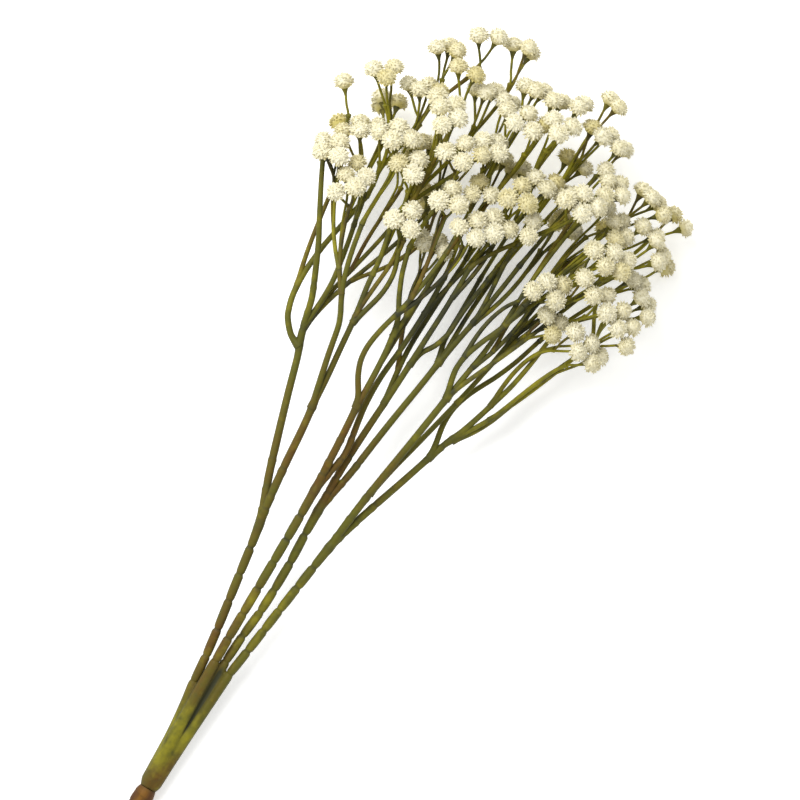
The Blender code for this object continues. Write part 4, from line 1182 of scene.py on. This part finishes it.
def model_petal(settings, curl):
    """A pointed petal on the origin, flat towards Y and cupped, with its tip bent by the curl."""
    wide = settings.petal_width / 2 / MM
    thick = settings.petal_thickness / 2 / MM
    petal = extrude_up(4, [
        (PETAL_LENGTH * up, wide * across, thick * deep, PETAL_LENGTH * lift * curl)
        for up, across, deep, lift in PETAL_STATIONS
    ])
    select_where(petal, "VERT", lambda vertex: abs(vertex.co.x / MM) > PETAL_EDGE_FROM * wide)
    bpy.ops.transform.translate(value=(0, PETAL_CUPPING * MM, 0))
    bpy.ops.object.mode_set(mode="OBJECT")
    return petal


def model_head(settings, kind):
    """One flower head round the origin, looking along Z: petals in a golden spiral round a core."""
    rng = random.Random(SEED + kind)
    petals = [model_petal(settings, curl) for curl in PETAL_CURLS]
    select_only()
    bpy.ops.mesh.primitive_ico_sphere_add(subdivisions=2, radius=CORE_RADIUS * MM)
    head = bpy.context.object
    top, skirt = math.cos(math.radians(PETAL_TOP)), math.cos(math.radians(PETAL_SKIRT))
    copies = []
    for k in range(settings.petals):
        share = (k + 0.5) / settings.petals
        polar = math.acos(top + (skirt - top) * share) + rng.uniform(-PETAL_POLAR_UNEVEN, PETAL_POLAR_UNEVEN)
        bearing = GOLDEN_ANGLE * k + rng.uniform(-PETAL_BEARING_UNEVEN, PETAL_BEARING_UNEVEN)
        out = Vector((math.cos(bearing), math.sin(bearing), 0))
        place = out * math.sin(polar) + UP * math.cos(polar)
        lean = polar - math.radians(PETAL_LEAN - PETAL_LEAN_LOSS * share)
        lean += rng.uniform(-PETAL_LEAN_UNEVEN, PETAL_LEAN_UNEVEN)
        grow_way = out * math.sin(lean) + UP * math.cos(lean)
        inner = (UP - grow_way * grow_way.z).normalized()
        inner = Quaternion(grow_way, rng.uniform(-PETAL_TWIST, PETAL_TWIST)) @ inner
        axes = Matrix((inner.cross(grow_way), inner, grow_way)).transposed()
        petal = petals[rng.randrange(len(petals))]
        reach = rng.uniform(*PETAL_REACH) * HEAD_REACH * (1 - PETAL_FLATTENING * math.cos(polar) ** 2)
        size = (reach - PETAL_ROOT) / PETAL_LENGTH
        copy = petal.copy()
        copy.data = petal.data.copy()
        drawn_out = axes.to_4x4() @ Matrix.Diagonal((1.0, 1.0, size, 1.0))
        copy.matrix_world = Matrix.Translation(place * PETAL_ROOT * MM) @ drawn_out
        bpy.context.scene.collection.objects.link(copy)
        copies.append(copy)
    select_only(*copies, head)
    bpy.ops.object.join()
    for petal in petals:
        bpy.data.objects.remove(petal)
    return take_shape(head)


def heads_piece(name, bunch, kinds, rng):
    """The flower heads of one bunch, each a turned copy of one of the modelled heads."""
    points, faces, reach, tone = [], [], [], []
    for place, way in zip(bunch.heads, bunch.ways):
        shape, shape_faces = kinds[rng.randrange(len(kinds))]
        turn = UP.rotation_difference(Vector(way)) @ Quaternion(UP, rng.uniform(0, 2 * math.pi))
        first = len(points)
        wide = rng.uniform(*HEAD_WIDE)
        points += list(turned(shape * (wide, wide, rng.uniform(*HEAD_DEEP)), turn) + place)
        faces += [tuple(first + n for n in face) for face in shape_faces]
        reach += list(np.linalg.norm(shape, axis=1) / HEAD_REACH)
        age_and_shade = rng.uniform(0.0, HEAD_TAN)
        if rng.random() < AGED_SHARE:
            age_and_shade += rng.uniform(*AGED_TAN)
        # Heads low in the cloud get more tan as painted shade
        if place[2] < LOW_HEADS_BELOW:
            age_and_shade += LOW_HEAD_SHADE
        # Towards the cup the petals turn tan, partly their own colour and partly painted shade
        tone += list((age_and_shade + SKIRT_TAN * (-shape[:, 2] / HEAD_REACH).clip(0, 1)).clip(0, 1))
    return new_piece(name, points, faces, {"reach": reach, "tone": tone}, PETAL_SHARP_FROM)


def spray_piece(spray, tubes, cup):
    """One spray: its jointed stem, branches and twigs, with each head's stalk and cup."""
    rng = random.Random(SEED + ord(spray))
    own = [tube for tube in tubes if tube.spray == spray]
    shell = Shell()

    def own_tone():
        return tuple(least + most * rng.random() ** 2 for least, most in TWIG_TONES)

    for tube in own:
        twig = tube.kind == "twig"
        starts = [other.line[0] for other in own if other is not tube]
        line, radii, seam_and_shade = fine_tube(tube, starts, rng)
        shell.tone = own_tone() if twig else (0.0, 0.0, 0.0)
        if twig:
            line, radii, seam_and_shade = knuckle_end(line, radii, seam_and_shade)
        shell.sweep(line, radii, seam_and_shade, shade=TWIG_SHADE if twig else 1.0)
        for place, (number, way, foot, rim) in enumerate(tube.stalks):
            shell.tone = own_tone()
            stalk, sizes = stalk_beside(tube.line, foot, BESIDE_APART if place else 0.0, rng)
            shell.sweep(stalk, sizes, np.zeros(len(stalk)), STALK_TIP, TWIG_SHADE)
            shell.add_cup(cup, foot, way, rng.uniform(0, 2 * math.pi))
    return shell.finished("stems_" + spray)


def melt(piece):
    """Melts a piece's overlapping bodies into one skin and smooths it."""
    select_only(piece)
    bpy.ops.object.modifier_add(type="REMESH")
    remesh = piece.modifiers[-1]
    remesh.mode = "VOXEL"
    remesh.voxel_size = SHEATH_GRAIN * MM
    remesh.use_smooth_shade = True
    bpy.ops.object.modifier_apply(modifier=remesh.name)
    bpy.ops.object.modifier_add(type="SMOOTH")
    soften = piece.modifiers[-1]
    soften.factor = 0.5
    soften.iterations = SHEATH_SMOOTHING
    bpy.ops.object.modifier_apply(modifier=soften.name)


def rib(points, root, tip):
    """A rib's line and radii, a little longer than its solid at both ends."""
    line = smooth(points, SHEATH_STEP)
    ends = GAP * unit(line[0] - line[1]), GAP * unit(line[-1] - line[-2])
    line = np.vstack((line[0] + ends[0], line, line[-1] + ends[1]))
    at = distances(line)
    radii = np.minimum(np.linspace(root, tip, len(line)), SHEATH_NECK + SHEATH_FLARE * at)
    return line, radii * (1 - RIB_END * bell(at[-1] - at, RIB_END_LENGTH))


def sheath_shade(places, ribs):
    """How deep in the hollow each place of the sheath is, and how much painted shade it gets there from the
    hollow, the grooves between its ribs and the crease at its foot.
    """
    depths = []
    for line, radii in ribs:
        away = np.linalg.norm(places[:, None, :] - line[None, :, :], axis=2)
        near = away.argmin(axis=1)
        depths.append(away[np.arange(len(places)), near] - radii[near])
    first, second = np.sort(np.array(depths), axis=0)[:2]
    along, across = places[:, 0], places[:, 1]
    groove = bell(second - first, GROOVE_WIDTH) * ((along - GROOVE_FROM) / GROOVE_STARTS_OVER).clip(0, 1)
    start, end, middle, half = HOLLOW
    hollow = bell(across - middle, np.interp(along, (start, HOLLOW_FULL_AT), (HOLLOW_NARROW, half)))
    hollow *= ((along - start) / HOLLOW_STARTS_OVER).clip(0, 1)
    hollow *= ((end - along) / HOLLOW_ENDS_OVER).clip(0, 1)
    foot = FOOT_SHADE * bell(along - SHEATH_START, FOOT_SHADE_LENGTH)
    return hollow, np.maximum(np.maximum(GROOVE_SHADE * groove, HOLLOW_SHADE * hollow), foot)


def sheath_piece():
    """The sheath: ribs and the body between them melted together, with a hollow and grooves between them, and
    painted shade in the hollow and grooves, at its foot and on its lower sides.
    """
    ribs = [rib(points, *radii) for points, radii in SHEATH_RIBS.values()]
    shell = Shell()
    for line, radii in ribs:
        shell.sweep(line, rings(radii, SHEATH_SIDES), np.zeros(len(line)))
    sheath = new_piece("sheath", shell.points, shell.faces, {}, STEM_SHARP_FROM)
    melt(sheath)
    mesh = sheath.data
    sunk = points_of(mesh)
    places = sunk / MM - FRAME_SHIFT
    hollow, seam_and_shade = sheath_shade(places, ribs[:-1])
    sunk[:, 2] -= HOLLOW_SUNK * hollow * MM
    mesh.vertices.foreach_set("co", sunk.ravel())
    mesh.update()
    # Painted shade, stronger where the surface faces further down
    painted_shade = [1 - vertex.normal.z for vertex in mesh.vertices]
    layers = {"seam_and_shade": seam_and_shade, "tip": np.zeros(len(places)), "painted_shade": painted_shade, **patches(places)}
    for layer, values in layers.items():
        set_layer(mesh, layer, values)
    return sheath


def stub_piece():
    """The wrapped end: a cylinder whose cut is inset, with the edges of its tape running round it."""
    start, end = Vector(STUB_END), Vector(STUB_TOP)
    length = STUB_PROFILE[-1][0]
    select_only()
    bpy.ops.mesh.primitive_cylinder_add(vertices=STUB_SIDES, radius=MM, depth=length * MM,
                                        location=(0, 0, length * MM / 2))
    stub = bpy.context.object
    stub.name = "wrapped_end"
    bpy.ops.object.transform_apply(location=True, rotation=False, scale=False)

    def runs_along(edge):
        low, high = (stub.data.vertices[n].co.z for n in edge.vertices)
        return abs(low - high) > 0.5 * length * MM

    select_where(stub, "EDGE", runs_along)
    bpy.ops.mesh.subdivide(number_cuts=STUB_CUTS)
    select_where(stub, "FACE", lambda face: face.normal.z < -0.9)
    for inset, rise in CUT_STEPS:
        bpy.ops.mesh.inset(thickness=inset * MM)
        bpy.ops.transform.translate(value=(0, 0, rise * MM))
    bpy.ops.object.mode_set(mode="OBJECT")
    turn = UP.rotation_difference(end - start).to_matrix()
    seam_and_shade = []
    for vertex in stub.data.vertices:
        at = vertex.co.z / MM
        bearing = math.atan2(vertex.co.y, vertex.co.x)
        wrap = (at / WRAP_PITCH + bearing / (2 * math.pi)) % 1.0
        lump = math.sin(WRAP_LUMP_TURN * at + 2 * bearing) * math.sin(math.pi * min(max(at / length, 0), 1))
        size = np.interp(at, *zip(*STUB_PROFILE)) - WRAP_EDGE * wrap + WRAP_LUMP * lump
        size -= WRAP_ROUNDING * bell(length - at, WRAP_ROUNDING_LENGTH)
        vertex.co.x *= size
        vertex.co.y *= size
        seam_and_shade.append(max(WRAP_SEAM * bell(wrap, WRAP_EDGE_WIDTH), WRAP_END_SEAM * bell(at - length, 1.0)))
        vertex.co = (turn @ (vertex.co / MM) + start + Vector(FRAME_SHIFT)) * MM
        vertex.co.z = max(vertex.co.z, 0.0)
    set_layer(stub.data, "seam_and_shade", seam_and_shade)
    select_only(stub)
    bpy.ops.object.shade_smooth_by_angle(angle=math.radians(STUB_SHARP_FROM))
    return stub


def finish_piece(piece, nodes, material):
    """Gives a piece its material, and puts it in the place of its nodes."""
    piece.data.materials.clear()
    piece.data.materials.append(material)
    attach(piece, "root")
    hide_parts(*nodes)


class Wire:
    """A shader socket. Arithmetic on it adds Math nodes."""

    def __init__(self, tree, socket=None):
        self.tree = tree
        self.socket = socket

    def node(self, kind, settings=None, inputs=None, output=0):
        """Adds any node, its settings first, and gives one of its outputs."""
        node = self.tree.nodes.new(kind)
        for name, value in (settings or {}).items():
            setattr(node, name, value)
        for name, value in (inputs or {}).items():
            if isinstance(value, Wire):
                self.tree.links.new(value.socket, node.inputs[name])
            else:
                node.inputs[name].default_value = value
        return Wire(self.tree, node.outputs[output])

    def math(self, operation, first, second=0.0, clamp=False):
        settings = {"operation": operation, "use_clamp": clamp}
        return self.node("ShaderNodeMath", settings, {0: first, 1: second})

    def __add__(self, other):
        return self.math("ADD", self, other)

    __radd__ = __add__

    def __sub__(self, other):
        return self.math("SUBTRACT", self, other)

    def __rsub__(self, other):
        return self.math("SUBTRACT", other, self)

    def __mul__(self, other):
        return self.math("MULTIPLY", self, other)

    __rmul__ = __mul__

    def clamped(self):
        return self.math("ADD", self, 0.0, clamp=True)

    def between(self, low, high):
        """0 below low, 1 above high, and smooth between them."""
        return self.node("ShaderNodeMapRange", {"interpolation_type": "SMOOTHSTEP"},
                         {"Value": self, "From Min": low, "From Max": high})

    def mix(self, factor, first, second):
        """Colour first where the factor is 0, and second where it is 1."""
        return self.node("ShaderNodeMix", {"data_type": "RGBA"}, {0: factor, 6: first, 7: second}, 2)

    def layer(self, name):
        """A number that the mesh keeps at each point."""
        return self.node("ShaderNodeAttribute", {"attribute_name": name}, output=2)

    def noise(self, scale, detail=3.0, stretch=(1.0, 1.0, 1.0)):
        """Noise over the piece, with this many grains to a metre."""
        place = self.node("ShaderNodeTexCoord", output=3)
        place = self.node("ShaderNodeMapping", {"vector_type": "POINT"}, {"Vector": place, "Scale": stretch})
        return self.node("ShaderNodeTexNoise", {}, {"Vector": place, "Scale": scale, "Detail": detail})

    def bump(self, height, strength, distance):
        return self.node("ShaderNodeBump", {}, {"Height": height, "Strength": strength, "Distance": distance})


def new_material(name, specular):
    """A Principled material, a wire of its tree and its shader."""
    material = bpy.data.materials.new(name)
    material.use_nodes = True
    shader = material.node_tree.nodes["Principled BSDF"]
    shader.inputs["Specular IOR Level"].default_value = specular
    return material, Wire(material.node_tree), shader


def feed(shader, **wires):
    for socket, wire in wires.items():
        wire.tree.links.new(wire.socket, shader.inputs[socket.replace("_", " ")])


def stem_material():
    """Olive plastic with patches of brown, yellow and dark green, darker in its joints, with painted shade on
    its lower sides, in its creases and at its forks.
    """
    settings = bpy.context.scene.gypsophila_stems
    material, tree, shader = new_material("stem_olive", 0.14)
    broad = tree.noise(70.0, 2.0)
    fine = tree.noise(420.0, 4.0)
    grain = tree.noise(230.0, 2.0)
    streak = tree.noise(60.0, 3.0, (1.0, 6.0, 6.0))
    brown = (tree.layer("brown") * (broad + 0.4) + (streak - 0.55) * 0.9 + (grain - 0.5) * 0.9).clamped()
    yellow = (tree.layer("yellow") * (streak + 0.3) + (broad - 0.55) * 1.6 + (grain - 0.56) * 1.8).clamped()
    dark = (tree.layer("dark") * (broad + 0.45) + (0.44 - grain) * 1.4 + (0.42 - broad) * 1.2).clamped()
    seam_and_shade = tree.layer("seam_and_shade") * 0.6 + tree.layer("tip") * 0.3
    colour = tree.mix(brown, tuple(settings.olive), tuple(settings.brown))
    colour = tree.mix(yellow, colour, tuple(settings.yellow))
    colour = tree.mix(fine.between(0.35, 0.9) * 0.3, colour, tuple(settings.dark))
    # Painted shade on the lower sides is mixed towards dark green, along with the joints, the painted shade
    # in creases and forks, and the dark patches
    painted_shade = tree.layer("painted_shade").between(0.2, 1.15) * (streak + 0.25)
    colour = tree.mix((dark + seam_and_shade + painted_shade * UNDER_SHADE).clamped(), colour, tuple(settings.dark))
    feed(shader, Base_Color=colour, Roughness=fine * 0.25 + 0.42,
         Normal=tree.bump(tree.noise(900.0, 3.0), 0.35, 0.15 * MM))
    return material


def petal_material():
    """Cream petals, yellower at their roots and tan on aged heads; the tan towards their cups is partly
    painted shade, and on low heads it is painted shade.
    """
    settings = bpy.context.scene.gypsophila_heads
    material, tree, shader = new_material("petal_cream", 0.15)
    cloud = tree.noise(260.0, 3.0)
    colour = tree.mix(tree.layer("reach").between(0.40, 0.78), tuple(settings.root), tuple(settings.cream))
    colour = tree.mix((tree.layer("tone") + (cloud - 0.5) * 0.6).clamped(), colour, tuple(settings.tan))
    feed(shader, Base_Color=colour, Roughness=tree.noise(500.0, 2.0) * 0.2 + 0.5,
         Normal=tree.bump(tree.noise(1400.0, 3.0), 0.3, 0.1 * MM))
    return material


def stub_material():
    """Brown tape, streaked along, dark at its edges."""
    settings = bpy.context.scene.gypsophila_stems
    material, tree, shader = new_material("wrap_brown", 0.1)
    streak = tree.noise(160.0, 4.0, (0.25, 1.0, 1.0))
    cloud = tree.noise(90.0, 2.0)
    colour = tree.mix(streak.between(0.35, 0.7), tuple(settings.bark), DEEP_BROWN)
    colour = tree.mix(cloud.between(0.5, 0.75) * 0.5, colour, tuple(settings.brown))
    colour = tree.mix((tree.layer("seam_and_shade") * 0.8).clamped(), colour, tuple(settings.dark))
    feed(shader, Base_Color=colour, Roughness=streak * 0.25 + 0.4, Normal=tree.bump(streak, 0.5, 0.25 * MM))
    return material


class GYPSOPHILA_OT_stub(bpy.types.Operator):
    """Model the wrapped end"""

    bl_idname = "gypsophila.stub"
    bl_label = "Wrapped end"

    def execute(self, context):
        finish_piece(stub_piece(), ["trunk_stub"], stub_material())
        return {"FINISHED"}


class GYPSOPHILA_OT_sheath(bpy.types.Operator):
    """Model the ribbed sheath"""

    bl_idname = "gypsophila.sheath"
    bl_label = "Sheath"

    def execute(self, context):
        finish_piece(sheath_piece(), ["trunk_sheath"], stem_material())
        return {"FINISHED"}


class GYPSOPHILA_OT_sprays(bpy.types.Operator):
    """Model the four sprays with their stalks and cups"""

    bl_idname = "gypsophila.sprays"
    bl_label = "Sprays"

    def execute(self, context):
        tubes, bunches = plant()
        cup = model_cup()
        olive = stem_material()
        for spray in STEMS:
            finish_piece(spray_piece(spray, tubes, cup), ["spray_" + spray], olive)
        return {"FINISHED"}


class GYPSOPHILA_OT_heads(bpy.types.Operator):
    """Model the bunches of flower heads"""

    bl_idname = "gypsophila.heads"
    bl_label = "Flower heads"

    def execute(self, context):
        tubes, bunches = plant()
        rng = random.Random(SEED)
        kinds = [model_head(context.scene.gypsophila_heads, kind) for kind in range(HEAD_KINDS)]
        cream = petal_material()
        for number, bunch in enumerate(bunches, 1):
            piece = heads_piece(f"blooms_{number:02d}", bunch, kinds, rng)
            finish_piece(piece, [f"flower_heads_{number:02d}"], cream)
        return {"FINISHED"}


class GYPSOPHILA_OT_stage(bpy.types.Operator):
    """Lay out the table, the light and the camera"""

    bl_idname = "gypsophila.stage"
    bl_label = "Table, light and camera"

    def execute(self, context):
        settings = context.scene.gypsophila_stage
        select_only()
        bpy.ops.mesh.primitive_plane_add(size=TABLE_SIZE, location=(0, 0, -TABLE_BELOW))
        table = context.object
        table.name = "table"
        bpy.ops.object.transform_apply(location=True, rotation=False, scale=False)
        material, tree, shader = new_material("table_white", 0.1)
        shader.inputs["Base Color"].default_value = tuple(settings.table)
        shader.inputs["Roughness"].default_value = 0.9
        shader.inputs["Emission Color"].default_value = tuple(settings.table)
        shader.inputs["Emission Strength"].default_value = settings.table_glow
        table.data.materials.append(material)
        middle = Vector(to_frame(VIEW_MIDDLE))
        key = bpy.data.lights.new("key", "AREA")
        key.shape = "DISK"
        key.size = KEY_SIZE
        key.energy = settings.key_power
        lamp = bpy.data.objects.new("key", key)
        lamp.location = middle + Vector(KEY_WAY) * KEY_DISTANCE
        lamp.rotation_euler = Vector(KEY_WAY).to_track_quat("Z", "Y").to_euler()
        context.scene.collection.objects.link(lamp)
        world = bpy.data.worlds.new("sky")
        world.use_nodes = True
        world.node_tree.nodes["Background"].inputs["Color"].default_value = (1.0, 1.0, 1.0, 1.0)
        world.node_tree.nodes["Background"].inputs["Strength"].default_value = settings.sky
        context.scene.world = world
        lens = bpy.data.cameras.new("camera")
        lens.lens = settings.lens
        camera = bpy.data.objects.new("camera", lens)
        camera.location = middle + Vector((0, 0, settings.view_width * settings.lens / lens.sensor_width))
        camera.rotation_euler = (0, 0, -settings.turn)
        context.scene.collection.objects.link(camera)
        context.scene.camera = camera
        context.scene.view_settings.view_transform = "Standard"
        return {"FINISHED"}


class GYPSOPHILA_PT_panel(bpy.types.Panel):
    """Lists what can be modelled"""

    bl_label = "Gypsophila"
    bl_space_type = "VIEW_3D"
    bl_region_type = "UI"
    bl_category = "Gypsophila"

    def draw(self, context):
        for step in STEPS:
            self.layout.operator(step.bl_idname)
        for group in ("gypsophila_stems", "gypsophila_heads", "gypsophila_stage"):
            settings = getattr(context.scene, group)
            for name in settings.__annotations__:
                self.layout.prop(settings, name)


STEPS = (
    GYPSOPHILA_OT_stub, GYPSOPHILA_OT_sheath, GYPSOPHILA_OT_sprays, GYPSOPHILA_OT_heads, GYPSOPHILA_OT_stage,
)
CLASSES = (StemSettings, HeadSettings, StageSettings, *STEPS, GYPSOPHILA_PT_panel)


def register():
    for kind in CLASSES:
        bpy.utils.register_class(kind)
    bpy.types.Scene.gypsophila_stems = PointerProperty(type=StemSettings)
    bpy.types.Scene.gypsophila_heads = PointerProperty(type=HeadSettings)
    bpy.types.Scene.gypsophila_stage = PointerProperty(type=StageSettings)


def unregister():
    del bpy.types.Scene.gypsophila_stems
    del bpy.types.Scene.gypsophila_heads
    del bpy.types.Scene.gypsophila_stage
    for kind in reversed(CLASSES):
        bpy.utils.unregister_class(kind)


def main():
    register()
    bpy.ops.gypsophila.stub()
    bpy.ops.gypsophila.sheath()
    bpy.ops.gypsophila.sprays()
    bpy.ops.gypsophila.heads()
    bpy.ops.gypsophila.stage()


if __name__ == "__main__":
    main()
